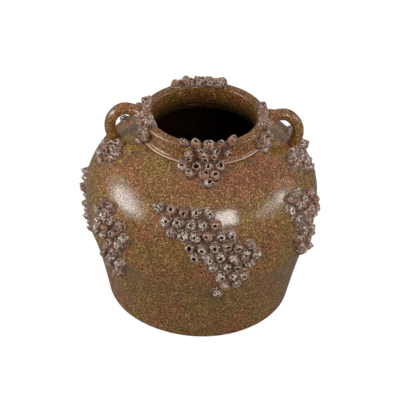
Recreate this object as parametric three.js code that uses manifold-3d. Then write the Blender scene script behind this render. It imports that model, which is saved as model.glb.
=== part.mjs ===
// A squat stoneware storage jar: a thrown body, a low collar luted onto its shoulder, two pulled
// loop handles, and bunches of small pricked clay cups, like barnacles, pressed on side by side.
// Millimetres, +Z up. The jar stands on z = 0 on its own axis, and its front faces -Y.
import * as THREE from "three";
import { mergeVertices } from "three/addons/utils/BufferGeometryUtils.js";
import Module from "manifold-3d";

const wasm = await Module();
wasm.setup();

// Body
const FOOT_RADIUS = 105;
const FOOT_BEVEL = 2.5;
const FOOT_LEAN = 10.7; // degrees that the wall leans out where it leaves the foot
const BELLY_RADIUS = 130;
const BELLY_HEIGHT = 138;
const SEAM_HEIGHT = 207.5; // where the collar stands on the shoulder
const SEAM_LEDGE = 1.5; // width of shoulder left bare round the collar's foot
const SHOULDER_SLOPE = 21.5; // degrees below level of the shoulder where it meets the collar
const WALL = 7.5;
const FLOOR = 9;
const FLOOR_FILLET = 12; // where the wall meets the floor inside

// How long the wall keeps the direction that it has at each of its ends and at the belly
const FOOT_RUN = 0.9; // share of the belly's height
const BELLY_RUN_DOWN = 0.53; // share of the belly's height
const BELLY_RUN_UP = 0.14; // share of the shoulder's rise
const SHOULDER_RUN = 0.9; // share of the shoulder's width

// Collar
const COLLAR_HEIGHT = 23.5;
const NECK_RADIUS = 66;
const NECK_WALL = 8.4;
const COLLAR_FOOT = 3.5; // how far the collar's foot bead stands out from the neck
const COLLAR_FOOT_HEIGHT = 3;
const LIP_ROLL = 3; // how far the rolled lip stands out from the neck
const LIP_DEPTH = 7;
const LIP_CREST = 4; // from the lip's outer edge in to its crest, and from the bore out to it

// Handles
const HANDLE_THICKNESS = 12.5;
const HANDLE_WIDTH = 14.5;
const HANDLE_REACH = 43.5; // from the neck's wall to the outside of the loop
const HANDLE_RISE = 7.5; // of the loop's top above the lip
const HANDLE_ROOT = 8; // of the loop's upper root below the lip
const HANDLE_TUCK = 5; // how far the loop draws back in at its foot
const HANDLE_FLARE = 0.3; // share by which the section swells where it is pressed on
const HANDLE_AZIMUTH = 90; // degrees either side of the front

// The loop's middle line, as [share of its reach, share of the way down from its crest to its foot]
const HANDLE_ROUTE = [[0.3, 0.03], [0.65, 0], [0.93, 0.25], [1, 0.55]];

// Clay cups
const CUP_PITCH = 13;
const CUP_ROW_PITCH = 12.5;
const CUP_HEIGHT = 8;
const CUP_MOUTH = 3.4; // radius of the pricked mouth's brim
const CUP_PIT = 4.6; // depth of the pricked pit
const CUP_VALLEY = 2.6; // height of the clay where three cups meet
const CUP_EDGE = 1.2; // height of the clay where a cup ends at bare wall
const CUP_TILT = 14; // degrees that a cup on an upright wall turns its mouth up

// The same for the cups that wrap the lip or a handle's foot, whose clay is thick enough to go round it
const RIM_CUP_HEIGHT = 6.5;
const RIM_CUP_VALLEY = 3.6;
const RIM_CUP_EDGE = 3.2;
const RIM_CUP_BED = 2.2; // how deep such a cup is set, before it is cut to fit

// How far cups stray from the rule
const CUP_SLIP = 1.2; // from their place in their row
const CUP_RAGGED = 1.6; // how much a brim rises and falls
const HEIGHT_SPREAD = 0.2; // share by which cups are taller or shorter
const MOUTH_SPREAD = 0.15; // share by which their mouths are wider or narrower

// The rows of a bunch that hangs from the rim or from a handle's foot, and the clay under them
const RIM_FILLET = 11; // how far up the neck and out over the shoulder clay fills the corner between them
const RIM_ROW_DROP = 4.5; // of the first row below the lip's crest
const SHOULDER_ROW_PITCH = 9.5; // between the rim's rows below the collar, and between a handle's rows
const SHOULDER_ROW_DROP = 1.5; // of the first of the rim's rows below the seam
const HANDLE_ROW_DROP = 1; // of the first row below the middle of a handle's foot

const CLEARANCE = 0.3; // between luted pieces

// Facets
const LATHE_FACETS = 48;
const BODY_RINGS = 16;
const COLLAR_RINGS = 4; // along each curve of the collar's outside
const BORE_RINGS = 3; // along the lip's inner round
const FILLET_RINGS = 8;
const SKIN_STEPS = 128;
const HANDLE_RINGS = 14;
const HANDLE_SIDES = 8;

const rad = THREE.MathUtils.degToRad;
const { Vector2, Vector3 } = THREE;

// Bunches. Each row of cups is [the place of its first cup, how many cups]. Places are counted in half
// pitches to the right of the bunch's axis, and each row lies half a pitch off the row above it.
const HANGING_BUNCH = [[-3, 4], [-4, 4], [-3, 4], [-4, 4], [-3, 3], [-2, 2], [-1, 1]];
const TRAILING_BUNCH = [[1, 2], [-2, 3], [-3, 4], [-4, 4], [-3, 3], [-2, 2], [-1, 1]];
const LEANING_BUNCH = [[3, 1], [0, 3], [-3, 4], [-2, 4], [1, 3], [4, 2]];
const FRONT_BUNCH = [[-8, 5], [-7, 5], [-6, 6], [-3, 6], [-2, 6], [1, 4], [2, 3], [3, 2], [2, 1]];
const FRONT_RIGHT_BUNCH = [[-2, 2], [-3, 4], [-2, 4], [-1, 4], [-2, 3], [-1, 3], [0, 2]];
const FRONT_LEFT_BUNCH = [[-3, 2], [-4, 4], [-3, 4], [-4, 4], [-1, 2], [-2, 3], [-1, 2], [0, 1]];
const RIM_FRONT_BUNCH = [[-4, 5], [-3, 4], [-4, 4], [-3, 3], [0, 1]];
const RIM_BACK_BUNCH = [[-4, 5], [-3, 4], [-2, 3], [-1, 1]];
const RIM_RIGHT_BUNCH = [[-3, 4], [-4, 3], [-5, 3]];
const RIM_LEFT_BUNCH = [[-3, 4], [0, 3], [3, 1]];
const HANDLE_FOOT_BUNCH = [[-2, 3], [-3, 3], [-2, 2]];

// Azimuths are in degrees to the right of the front. A drop is the share of the shoulder's and belly's
// length, from the seam down, at which a bunch has its first row.
const BELLY_BUNCHES = [
  { name: "front", azimuth: 4, drop: 0.226, rows: FRONT_BUNCH },
  { name: "front_right", azimuth: 59, drop: 0.256, rows: FRONT_RIGHT_BUNCH },
  { name: "right", azimuth: 120, drop: 0.358, rows: TRAILING_BUNCH },
  { name: "back_right", azimuth: 161, drop: 0.273, rows: HANGING_BUNCH },
  { name: "back_left", azimuth: 205, drop: 0.303, rows: HANGING_BUNCH },
  { name: "left", azimuth: -103, drop: 0.405, rows: LEANING_BUNCH },
  { name: "front_left", azimuth: -47, drop: 0.328, rows: FRONT_LEFT_BUNCH },
];
const RIM_BUNCHES = [
  { name: "rim_front", azimuth: 5, rows: RIM_FRONT_BUNCH },
  { name: "rim_right", azimuth: HANDLE_AZIMUTH - 2, rows: RIM_RIGHT_BUNCH },
  { name: "rim_back", azimuth: 188, rows: RIM_BACK_BUNCH },
  { name: "rim_left", azimuth: 4 - HANDLE_AZIMUTH, rows: RIM_LEFT_BUNCH },
];
const HANDLE_FOOT_BUNCHES = [
  { name: "handle_right", azimuth: HANDLE_AZIMUTH - 5, rows: HANDLE_FOOT_BUNCH },
  { name: "handle_left", azimuth: 12 - HANDLE_AZIMUTH, rows: HANDLE_FOOT_BUNCH },
];

// Each bunch's cups stray by a seed of their own, counted on from these.
const BELLY_SEED = 0;
const RIM_SEED = 10;
const HANDLE_FOOT_SEED = 20;

const GLAZE = new THREE.MeshStandardMaterial({ color: 0x6b4f2f, roughness: 0.3, metalness: 0 });
const CUP_GLAZE = new THREE.MeshStandardMaterial({ color: 0x8a7168, roughness: 0.4, metalness: 0 });

const collarFootRadius = NECK_RADIUS + COLLAR_FOOT;
const seamRadius = collarFootRadius + SEAM_LEDGE;
const mouthRadius = NECK_RADIUS - NECK_WALL;
const lipHeight = SEAM_HEIGHT + COLLAR_HEIGHT;

// Solids

function solidOf(geometry) {
  const bare = geometry.clone();
  bare.deleteAttribute("normal");
  bare.deleteAttribute("uv");
  const merged = mergeVertices(bare, 1e-4);
  return new wasm.Manifold(
    new wasm.Mesh({
      numProp: 3,
      vertProperties: merged.attributes.position.array,
      triVerts: new Uint32Array(merged.index.array),
    }),
  );
}

function geometryOf(solid) {
  const { vertProperties, triVerts } = solid.getMesh();
  const geometry = new THREE.BufferGeometry();
  geometry.setAttribute("position", new THREE.BufferAttribute(vertProperties, 3));
  geometry.setIndex(new THREE.BufferAttribute(triVerts, 1));
  return geometry;
}

function surfaceOf(points, faces) {
  const geometry = new THREE.BufferGeometry().setFromPoints(points);
  geometry.setIndex(faces);
  return geometry;
}

function pieceOf(name, geometry, material) {
  geometry.computeVertexNormals();
  const mesh = new THREE.Mesh(geometry, material);
  mesh.name = name;
  return mesh;
}

// A profile of Vector2(radius, height) turned round the jar's axis.
function turned(profile) {
  return solidOf(new THREE.LatheGeometry(profile, LATHE_FACETS).rotateX(Math.PI / 2));
}

// Moves each point of an open profile square to the profile, to the right of its direction.
function offset(profile, distance) {
  return profile.map((point, i) => {
    const before = profile[Math.max(i - 1, 0)];
    const after = profile[Math.min(i + 1, profile.length - 1)];
    const along = after.clone().sub(before).normalize();
    return new Vector2(point.x + along.y * distance, point.y - along.x * distance);
  });
}

// The body's outside, from the top of the foot's bevel up to the seam

function bodyCurve() {
  const footRun = FOOT_RUN * BELLY_HEIGHT;
  const shoulderRise = SEAM_HEIGHT - BELLY_HEIGHT;
  const shoulderRun = SHOULDER_RUN * (BELLY_RADIUS - seamRadius);
  const lean = rad(FOOT_LEAN);
  const slope = rad(SHOULDER_SLOPE);
  const curve = new THREE.Path();
  curve.moveTo(FOOT_RADIUS, FOOT_BEVEL);
  curve.bezierCurveTo(
    FOOT_RADIUS + footRun * Math.sin(lean), FOOT_BEVEL + footRun * Math.cos(lean),
    BELLY_RADIUS, BELLY_HEIGHT * (1 - BELLY_RUN_DOWN),
    BELLY_RADIUS, BELLY_HEIGHT,
  );
  curve.bezierCurveTo(
    BELLY_RADIUS, BELLY_HEIGHT + BELLY_RUN_UP * shoulderRise,
    seamRadius + shoulderRun * Math.cos(slope), SEAM_HEIGHT - shoulderRun * Math.sin(slope),
    seamRadius, SEAM_HEIGHT,
  );
  return curve;
}

const bodyOutside = bodyCurve().getSpacedPoints(BODY_RINGS);

// The hollow's wall, from under the shoulder down to the fillet and the floor.
function bodyInside() {
  const wall = offset(bodyOutside, -WALL)
    .filter((point) => point.x > mouthRadius + WALL && point.y > FLOOR + FLOOR_FILLET)
    .filter((_, i) => i % 2 === 0)
    .reverse();
  const { x, y } = wall.pop();
  const fillet = new THREE.Path();
  fillet.moveTo(x, y);
  fillet.quadraticCurveTo(x - 0.3 * FLOOR_FILLET, FLOOR, x - 1.3 * FLOOR_FILLET, FLOOR);
  return [...wall, ...fillet.getPoints(3)];
}

function bodySolid() {
  return turned([
    new Vector2(0, 0),
    new Vector2(FOOT_RADIUS - FOOT_BEVEL, 0),
    ...bodyOutside,
    new Vector2(mouthRadius, SEAM_HEIGHT),
    new Vector2(mouthRadius, SEAM_HEIGHT - WALL),
    ...bodyInside(),
    new Vector2(0, FLOOR),
  ]);
}

// The body grown by the clearance and without its hollow, which other pieces are cut to.
function bodyCutter() {
  return turned([
    new Vector2(0, -CLEARANCE),
    new Vector2(FOOT_RADIUS, -CLEARANCE),
    ...offset(bodyOutside, CLEARANCE),
    new Vector2(seamRadius, SEAM_HEIGHT + CLEARANCE),
    new Vector2(0, SEAM_HEIGHT + CLEARANCE),
  ]);
}

// The collar, from its foot bead up to the lip's crest, and from there down its bore

function collarOutside() {
  const foot = SEAM_HEIGHT + CLEARANCE;
  const lipRadius = NECK_RADIUS + LIP_ROLL;
  const curve = new THREE.Path();
  curve.moveTo(collarFootRadius, foot);
  curve.lineTo(collarFootRadius, foot + 0.5 * COLLAR_FOOT_HEIGHT);
  curve.quadraticCurveTo(
    NECK_RADIUS, foot + 0.7 * COLLAR_FOOT_HEIGHT,
    NECK_RADIUS, foot + 2 * COLLAR_FOOT_HEIGHT,
  );
  curve.bezierCurveTo(
    NECK_RADIUS, lipHeight - LIP_DEPTH,
    lipRadius, lipHeight - LIP_DEPTH,
    lipRadius, lipHeight - 0.5 * LIP_DEPTH,
  );
  curve.quadraticCurveTo(lipRadius, lipHeight, lipRadius - LIP_CREST, lipHeight);
  return curve.getPoints(COLLAR_RINGS);
}

function collarInside() {
  const curve = new THREE.Path();
  curve.moveTo(mouthRadius + LIP_CREST, lipHeight);
  curve.quadraticCurveTo(mouthRadius, lipHeight, mouthRadius, lipHeight - 0.5 * LIP_DEPTH);
  curve.lineTo(mouthRadius, SEAM_HEIGHT + CLEARANCE);
  return curve.getPoints(BORE_RINGS);
}

function closed(profile) {
  return [...profile, profile[0].clone()];
}

const collarProfile = [...collarOutside(), ...collarInside()];

// The collar grown by the clearance and without its bore.
function collarCutter() {
  const outside = offset(collarOutside(), CLEARANCE);
  return turned([
    new Vector2(0, SEAM_HEIGHT),
    new Vector2(collarFootRadius + CLEARANCE, SEAM_HEIGHT),
    ...outside,
    new Vector2(0, outside[outside.length - 1].y),
  ]);
}

// A handle, pulled from the neck up past the lip and down to the shoulder, in the plane y = 0

const handleReach = HANDLE_REACH - HANDLE_THICKNESS / 2;
const handleFootRadius = NECK_RADIUS + handleReach - HANDLE_TUCK;

function shoulderHeightAt(radius) {
  const shoulder = bodyOutside.filter((point) => point.y > BELLY_HEIGHT);
  const i = shoulder.findIndex((point) => point.x < radius);
  const [outer, inner] = [shoulder[i - 1], shoulder[i]];
  return THREE.MathUtils.mapLinear(radius, outer.x, inner.x, outer.y, inner.y);
}

function handleCurve() {
  const half = HANDLE_THICKNESS / 2;
  const crest = lipHeight + HANDLE_RISE - half;
  const foot = shoulderHeightAt(handleFootRadius);
  const route = HANDLE_ROUTE.map(([out, down]) => [
    NECK_RADIUS + out * handleReach,
    crest - down * (crest - foot),
  ]);
  route.unshift([NECK_RADIUS - half, lipHeight - HANDLE_ROOT - half / 2]);
  route.push([handleFootRadius, foot], [handleFootRadius - HANDLE_TUCK / 2, foot - half]);
  return new THREE.CatmullRomCurve3(route.map(([x, z]) => new Vector3(x, 0, z)), false, "centripetal");
}

function handleSolid(growth) {
  const curve = handleCurve();
  const sideways = new Vector3(0, 1, 0);
  const points = [curve.getPointAt(0)];
  const faces = [];
  for (let ring = 0; ring < HANDLE_RINGS; ring += 1) {
    const u = ring / (HANDLE_RINGS - 1);
    const outward = new Vector3().crossVectors(sideways, curve.getTangentAt(u));
    const swell = 1 + HANDLE_FLARE * Math.abs(2 * u - 1) ** 5;
    const thick = (swell * HANDLE_THICKNESS) / 2 + growth;
    const wide = (swell * HANDLE_WIDTH) / 2 + growth;
    for (let side = 0; side < HANDLE_SIDES; side += 1) {
      const angle = (2 * Math.PI * side) / HANDLE_SIDES;
      const point = curve.getPointAt(u);
      point.addScaledVector(outward, thick * Math.cos(angle));
      points.push(point.addScaledVector(sideways, wide * Math.sin(angle)));
    }
  }
  points.push(curve.getPointAt(1));
  const lastRing = 1 + (HANDLE_RINGS - 1) * HANDLE_SIDES;
  for (let side = 0; side < HANDLE_SIDES; side += 1) {
    const next = (side + 1) % HANDLE_SIDES;
    faces.push(0, 1 + next, 1 + side);
    for (let low = 1; low < lastRing; low += HANDLE_SIDES) {
      const high = low + HANDLE_SIDES;
      faces.push(low + side, low + next, high + next, low + side, high + next, high + side);
    }
    faces.push(lastRing + side, lastRing + next, points.length - 1);
  }
  return solidOf(surfaceOf(points, faces));
}

// Turns a solid made in the plane y = 0 to an azimuth counted from the front.
function turnedTo(azimuth, solid) {
  return solid.rotate([0, 0, azimuth - 90]);
}

// The skin that cups are pressed onto: an open profile, followed by its length

class Skin {
  constructor(profile) {
    this.path = new THREE.Path().setFromPoints(profile);
    this.length = this.path.getLength();
  }

  // Radius and height after a length along the skin.
  at(along) {
    return this.path.getPointAt(THREE.MathUtils.clamp(along / this.length, 0, 1));
  }

  // The skin's outward direction, evened out over half a cup's width.
  facing(along) {
    const chord = this.at(along + CUP_PITCH / 4).sub(this.at(along - CUP_PITCH / 4)).normalize();
    return new Vector2(-chord.y, chord.x);
  }

  // A point in space, lifted off the skin along its outward direction. The azimuth is in radians.
  point({ azimuth, along }, lift) {
    const at = this.at(along).addScaledVector(this.facing(along), lift);
    return new Vector3(at.x * Math.sin(azimuth), -at.x * Math.cos(azimuth), at.y);
  }

  // The length along the skin at which it first comes down to a height.
  lengthAt(height) {
    const points = this.path.getPoints();
    const lengths = [0, ...this.path.getCurveLengths()];
    return lengths[points.findIndex((point, i) => i > 0 && points[i - 1].y >= point.y && point.y <= height)];
  }
}

// A share from 0 to 1 that looks random and is the same each time.
function chance(seed) {
  const value = Math.sin(seed * 12.9898) * 43758.5453;
  return value - Math.floor(value);
}

// The cells round a cell, as [rows down, places right], from the right-hand one to the left about
const AROUND = [[0, 2], [-1, 1], [-1, -1], [0, -2], [1, -1], [1, 1]];

// A bunch of cups as one closed surface. Each cup fills a six-sided cell of the skin and shares its
// corners with the cups that it is pressed against. rowAt gives the length down the skin of a row.
// From the skin, height is that of the cups, valley and edge are those of the corners inside the bunch
// and round it, and bed is that of the undersides.
class Bunch {
  constructor(skin, { azimuth, rows }, seed, { rowAt, height, valley, edge, bed }) {
    Object.assign(this, { skin, seed, rowAt, height, valley, edge, bed });
    this.azimuth = rad(azimuth);
    this.cells = rows.flatMap(([first, count], row) =>
      Array.from({ length: count }, (_, i) => [row, first + 2 * i]),
    );
    this.names = new Set(this.cells.map(String));
    this.known = new Map();
    this.points = [];
    this.faces = [];
    for (const cell of this.cells) this.addCup(cell);
  }

  // A value from -0.5 to 0.5 of a cell's own, one for each use.
  stray([row, place], use) {
    return chance(this.seed + 31 * row + 0.37 * place + 0.11 * use) - 0.5;
  }

  centre(cell) {
    const [row, place] = cell;
    const along = this.rowAt(row);
    const aside = 0.5 * place * CUP_PITCH + CUP_SLIP * this.stray(cell, 1);
    return {
      azimuth: this.azimuth + aside / this.skin.at(along).x,
      along: along + CUP_SLIP * this.stray(cell, 2),
    };
  }

  beside([row, place], side) {
    const [down, right] = AROUND[side % AROUND.length];
    return [row + down, place + right];
  }

  // Adds a point once, under its name, and gives its number.
  point(name, spot, lift) {
    if (!this.known.has(name)) {
      this.known.set(name, this.points.length);
      this.points.push(this.skin.point(spot, lift));
    }
    return this.known.get(name);
  }

  // The corner between a cell and two cells beside it: its point under the clay and its point on top.
  corner(cell, side) {
    const cells = [cell, this.beside(cell, side), this.beside(cell, side + 1)].sort();
    const spots = cells.map((each) => this.centre(each));
    const mean = (key) => (spots[0][key] + spots[1][key] + spots[2][key]) / 3;
    const spot = { azimuth: mean("azimuth"), along: mean("along") };
    const enclosed = cells.every((each) => this.names.has(String(each)));
    const name = cells.join(" ");
    return {
      under: this.point(`under ${name}`, spot, this.bed),
      top: this.point(`top ${name}`, spot, enclosed ? this.valley : this.edge),
    };
  }

  // A ragged brim round the cup's own axis, walls down to its corners, and its pit.
  addCup(cell) {
    const spot = this.centre(cell);
    const foot = this.skin.point(spot, 0);
    const outward = this.skin.point(spot, 1).sub(foot);
    const sideways = new Vector3(Math.cos(spot.azimuth), Math.sin(spot.azimuth), 0);
    const axis = outward.applyAxisAngle(sideways, -rad(CUP_TILT) * (1 - outward.z));
    const upward = new Vector3().crossVectors(axis, sideways);
    const height = this.height * (1 + 2 * HEIGHT_SPREAD * this.stray(cell, 3));
    const mouth = CUP_MOUTH * (1 + 2 * MOUTH_SPREAD * this.stray(cell, 4));
    const corners = AROUND.map((_, side) => this.corner(cell, side));
    const brim = AROUND.map((_, side) => {
      const angle = (2 * Math.PI * (side + 0.5)) / AROUND.length;
      const point = foot.clone().addScaledVector(axis, height + CUP_RAGGED * this.stray(cell, 5 + side));
      point.addScaledVector(sideways, mouth * Math.cos(angle));
      return this.points.push(point.addScaledVector(upward, mouth * Math.sin(angle))) - 1;
    });
    const pit = this.points.push(foot.clone().addScaledVector(axis, height - CUP_PIT)) - 1;
    const bottom = this.point(`bottom ${cell}`, spot, this.bed);
    AROUND.forEach((_, side) => {
      const next = (side + 1) % AROUND.length;
      const [here, there] = [corners[side], corners[next]];
      this.addBand(here.top, there.top, brim[next], brim[side]);
      this.faces.push(brim[side], brim[next], pit);
      this.faces.push(bottom, there.under, here.under);
      if (!this.names.has(String(this.beside(cell, next)))) {
        this.addBand(here.under, there.under, there.top, here.top);
      }
    });
  }

  addBand(a, b, c, d) {
    this.faces.push(a, b, c, a, c, d);
  }

  get surface() {
    return surfaceOf(this.points, this.faces);
  }
}

// Assembly

const jar = new THREE.Group();
jar.name = "jar";
jar.add(pieceOf("body", geometryOf(bodySolid()), GLAZE));
jar.add(pieceOf("collar", geometryOf(turned(closed(collarProfile))), GLAZE));

const bodyFit = bodyCutter();
const collarFit = turned(closed(offset(collarProfile, CLEARANCE)));
const handle = handleSolid(0).subtract(bodyFit).subtract(collarCutter());
const handleFit = handleSolid(CLEARANCE);
const handleFits = [];
for (const [side, azimuth] of [["right", HANDLE_AZIMUTH], ["left", -HANDLE_AZIMUTH]]) {
  jar.add(pieceOf(`handle_${side}`, geometryOf(turnedTo(azimuth, handle)), GLAZE));
  handleFits.push(turnedTo(azimuth, handleFit));
}

// The skin of the shoulder and belly starts at the seam.
const shoulderDown = bodyCurve().getSpacedPoints(SKIN_STEPS).reverse();
const bellySkin = new Skin(shoulderDown);
const handleFootDrop = bellySkin.lengthAt(shoulderHeightAt(handleFootRadius));

// The skin of the rim starts inside the bore, goes over the lip and down the neck, and rounds the
// corner that its clay fills.
const boreEdge = collarInside().slice(0, BORE_RINGS + 1).reverse();
const crestAlong = new Skin(boreEdge).length;

function rimProfile() {
  const neck = collarOutside().reverse().filter((point) => point.y > SEAM_HEIGHT + RIM_FILLET);
  const shoulder = shoulderDown.filter((point) => point.x > NECK_RADIUS + RIM_FILLET);
  const fillet = new THREE.Path();
  fillet.moveTo(NECK_RADIUS, SEAM_HEIGHT + RIM_FILLET);
  fillet.quadraticCurveTo(NECK_RADIUS, SEAM_HEIGHT, shoulder[0].x, shoulder[0].y);
  return [...boreEdge, ...neck, ...fillet.getPoints(FILLET_RINGS), ...shoulder.slice(1)];
}

const rimSkin = new Skin(rimProfile());
const seamAlong = rimSkin.lengthAt(SEAM_HEIGHT);

// A rim bunch has a row on the lip and one on the neck, and its other rows below them.
function rimRowAt(row) {
  if (row < 2) return crestAlong + RIM_ROW_DROP + row * CUP_ROW_PITCH;
  return seamAlong + SHOULDER_ROW_DROP + (row - 2) * SHOULDER_ROW_PITCH;
}

// Cups that wrap an edge are set into it and then cut to fit round what they touch.
function addFittedBunch(skin, bunch, seed, rowAt, cutters) {
  const heights = { height: RIM_CUP_HEIGHT, valley: RIM_CUP_VALLEY, edge: RIM_CUP_EDGE, bed: -RIM_CUP_BED };
  const cups = new Bunch(skin, bunch, seed, { rowAt, ...heights });
  const fitted = cutters.reduce((solid, cutter) => solid.subtract(cutter), solidOf(cups.surface));
  jar.add(pieceOf(`cups_${bunch.name}`, geometryOf(fitted), CUP_GLAZE));
}

BELLY_BUNCHES.forEach((bunch, i) => {
  const rowAt = (row) => bunch.drop * bellySkin.length + row * CUP_ROW_PITCH;
  const heights = { height: CUP_HEIGHT, valley: CUP_VALLEY, edge: CUP_EDGE, bed: CLEARANCE };
  const cups = new Bunch(bellySkin, bunch, BELLY_SEED + i, { rowAt, ...heights });
  jar.add(pieceOf(`cups_${bunch.name}`, cups.surface, CUP_GLAZE));
});
RIM_BUNCHES.forEach((bunch, i) => {
  addFittedBunch(rimSkin, bunch, RIM_SEED + i, rimRowAt, [bodyFit, collarFit, ...handleFits]);
});
HANDLE_FOOT_BUNCHES.forEach((bunch, i) => {
  const rowAt = (row) => handleFootDrop + HANDLE_ROW_DROP + row * SHOULDER_ROW_PITCH;
  addFittedBunch(bellySkin, bunch, HANDLE_FOOT_SEED + i, rowAt, [bodyFit, ...handleFits]);
});

export default jar;
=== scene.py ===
"""A squat stoneware storage jar with bunches of pricked clay cups pressed onto it.

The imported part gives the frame: +Z up, the jar on its own axis, its front facing -Y. Sizes are in
millimetres unless their own text says metres, and become metres where a mesh or a node is made.
"""

import logging
import math
from dataclasses import dataclass, field, replace
from enum import Enum

import bpy
import numpy as np
from mathutils import Matrix, Vector


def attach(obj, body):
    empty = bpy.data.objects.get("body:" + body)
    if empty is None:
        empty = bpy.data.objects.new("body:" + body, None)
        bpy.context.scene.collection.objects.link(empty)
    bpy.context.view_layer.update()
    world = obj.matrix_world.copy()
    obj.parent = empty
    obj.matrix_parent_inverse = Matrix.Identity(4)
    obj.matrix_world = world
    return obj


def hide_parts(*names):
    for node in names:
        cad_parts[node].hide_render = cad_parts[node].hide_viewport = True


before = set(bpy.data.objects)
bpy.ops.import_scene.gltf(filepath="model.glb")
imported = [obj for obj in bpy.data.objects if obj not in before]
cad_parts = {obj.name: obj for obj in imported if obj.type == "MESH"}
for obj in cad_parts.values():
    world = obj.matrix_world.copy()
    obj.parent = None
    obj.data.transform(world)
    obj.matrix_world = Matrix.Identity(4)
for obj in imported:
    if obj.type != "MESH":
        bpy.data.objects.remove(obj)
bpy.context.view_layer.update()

LOG = logging.getLogger("jar")
MM = 0.001
ROOT_BODY = "root"
NOUGHT = 1e-6
WHITE = (1.0, 1.0, 1.0, 1.0)

# How finely a curve's points are set: along the wall, the neck and small rounds
WALL_POINTS = 200
NECK_POINTS = 48
ROUND_POINTS = 24
FOOT_POINTS = 8
STRETCH_POINTS = 40
WALL_STEP = 0.5

# Which way and how far a seed moves noise, in metres, how much finer noise it holds, and how strong that is
SEED_WAY = (1.7, -2.3, 0.9)
DETAIL = 2.0
DETAIL_SHARE = 0.6

# The height of a cup's clay where there is none, and how sharply a higher cup outweighs a lower one
BURIED = -9.0
BLEND_SHARPNESS = 4.0

# The height that the lamps face, in metres, and the width that the lens's length is for
JAR_MIDDLE = 0.12
SENSOR_WIDTH = 36.0

Socket = bpy.types.NodeSocket
Colour = tuple[float, float, float, float]
Stops = tuple[tuple[float, Colour], ...]


class Slot(Enum):
    """Names of material slots, one for each glaze."""

    GLAZE = "glaze"
    CUP_GLAZE = "cup_glaze"


class Mark(Enum):
    """What a mesh tells its glaze, point by point."""

    RELIEF = "relief"
    # Where a cup's hole is, which its glaze paints near black as shade
    PIT = "pit"
    # Dark rust glaze pooled between cups, with painted shade in the creases and grooves
    CREVICE_RUST_AND_SHADE = "rust_and_shade"
    # Where the glaze breaks pale on a brim, and a painted highlight on the flange's upper crescent
    BRIM = "brim"
    CUP = "cup"
    # Painted shade inside the hollow: how far a point's glaze is darkened towards near black
    HOLLOW_SHADE = "inside"
    # Painted highlight along the collar's bead and the lip's crest
    HIGHLIGHT = "edge"
    RUDDY = "ruddy"


# Shapes that every piece is made from


def linear(red: float, green: float, blue: float) -> tuple[float, float, float, float]:
    """Turns a colour seen on screen, from 0 to 255 a channel, into the light that it stands for.

    Args:
        red: The red channel.
        green: The green channel.
        blue: The blue channel.

    Returns:
        The colour as a shader takes it, with full alpha.
    """
    shares = [channel / 255 for channel in (red, green, blue)]
    light = [share / 12.92 if share <= 0.04045 else ((share + 0.055) / 1.055) ** 2.4 for share in shares]
    return (light[0], light[1], light[2], 1.0)


def smoothstep(share: np.ndarray) -> np.ndarray:
    """Eases a share from 0 to 1, and holds it there outside.

    Args:
        share: The shares, any of which may lie outside 0 to 1.

    Returns:
        The eased shares.
    """
    held = np.clip(share, 0.0, 1.0)
    return held * held * (3 - 2 * held)


def ridge(apart: np.ndarray, reach: float) -> np.ndarray:
    """Gives a soft ridge, which is 1 on its line and falls off on both sides."""
    return np.exp(-((apart / reach) ** 2))


def lobes(angle: np.ndarray, *waves: tuple[float, int, float]) -> np.ndarray:
    """Adds up waves round a circle.

    Args:
        angle: Each place's angle.
        *waves: Each wave's height, how many crests it has and its turn.

    Returns:
        The sum at each place.
    """
    return sum(height * np.cos(crests * angle + turn) for height, crests, turn in waves)


def outward(azimuth: float) -> np.ndarray:
    """Gives the level way out from the axis, at degrees to the right of the front."""
    turn = math.radians(azimuth)
    return np.array([math.sin(turn), -math.cos(turn), 0.0])


def bezier(points: list[tuple[float, float]], count: int) -> np.ndarray:
    """Follows a Bezier curve of any degree.

    Args:
        points: The curve's control points, as radius and height.
        count: How many points to give.

    Returns:
        The points on the curve, both ends included.
    """
    shares = np.linspace(0, 1, count)[:, None]
    rows = [np.array(point, float)[None, :] * np.ones_like(shares) for point in points]
    while len(rows) > 1:
        rows = [(1 - shares) * low + shares * high for low, high in zip(rows, rows[1:])]
    return rows[0]


def lengths_along(path: np.ndarray) -> np.ndarray:
    """Measures a path from its start to each of its points.

    Args:
        path: The points, one a row.

    Returns:
        The length to each point.
    """
    steps = np.linalg.norm(np.diff(path, axis=0), axis=1)
    return np.concatenate([[0.0], np.cumsum(steps)])


def respaced(path: np.ndarray, step: float) -> np.ndarray:
    """Places points evenly along a path.

    Args:
        path: The points, one a row.
        step: About how far apart the new points lie.

    Returns:
        The evenly placed points, both ends included.
    """
    lengths = lengths_along(path)
    places = np.linspace(0, lengths[-1], max(2, round(lengths[-1] / step) + 1))
    return np.stack([np.interp(places, lengths, column) for column in path.T], axis=1)


def directions(path: np.ndarray) -> np.ndarray:
    """Gives a path's direction at each of its points."""
    way = np.gradient(path, axis=0)
    return way / np.linalg.norm(way, axis=1)[:, None]


@dataclass
class Ripple:
    """Gentle unevenness of hand-made clay: a few seeded waves over a surface.

    Attributes:
        seed: The seed of the waves.
        height: How far the surface rises and falls, in all.
        reach: The length of the shortest wave.
        waves: How many waves there are.
        stretch: How many times as long as the shortest the longest may be.
    """

    seed: int
    height: float
    reach: float
    waves: int = 18
    stretch: float = 4.0

    def at(self, points: np.ndarray) -> np.ndarray:
        """Gives the rise at points in space.

        Args:
            points: The points, one a row.

        Returns:
            The rise at each point.
        """
        dice = np.random.default_rng(self.seed)
        ways = dice.normal(size=(self.waves, 3))
        ways /= np.linalg.norm(ways, axis=1)[:, None]
        spans = self.reach * dice.uniform(1.0, self.stretch, self.waves)
        turns = dice.uniform(0, 2 * math.pi, self.waves)
        phases = points @ (2 * math.pi * ways / spans[:, None]).T + turns
        return self.height / 2 * np.sin(phases).sum(axis=1) / math.sqrt(self.waves / 2)


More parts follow.
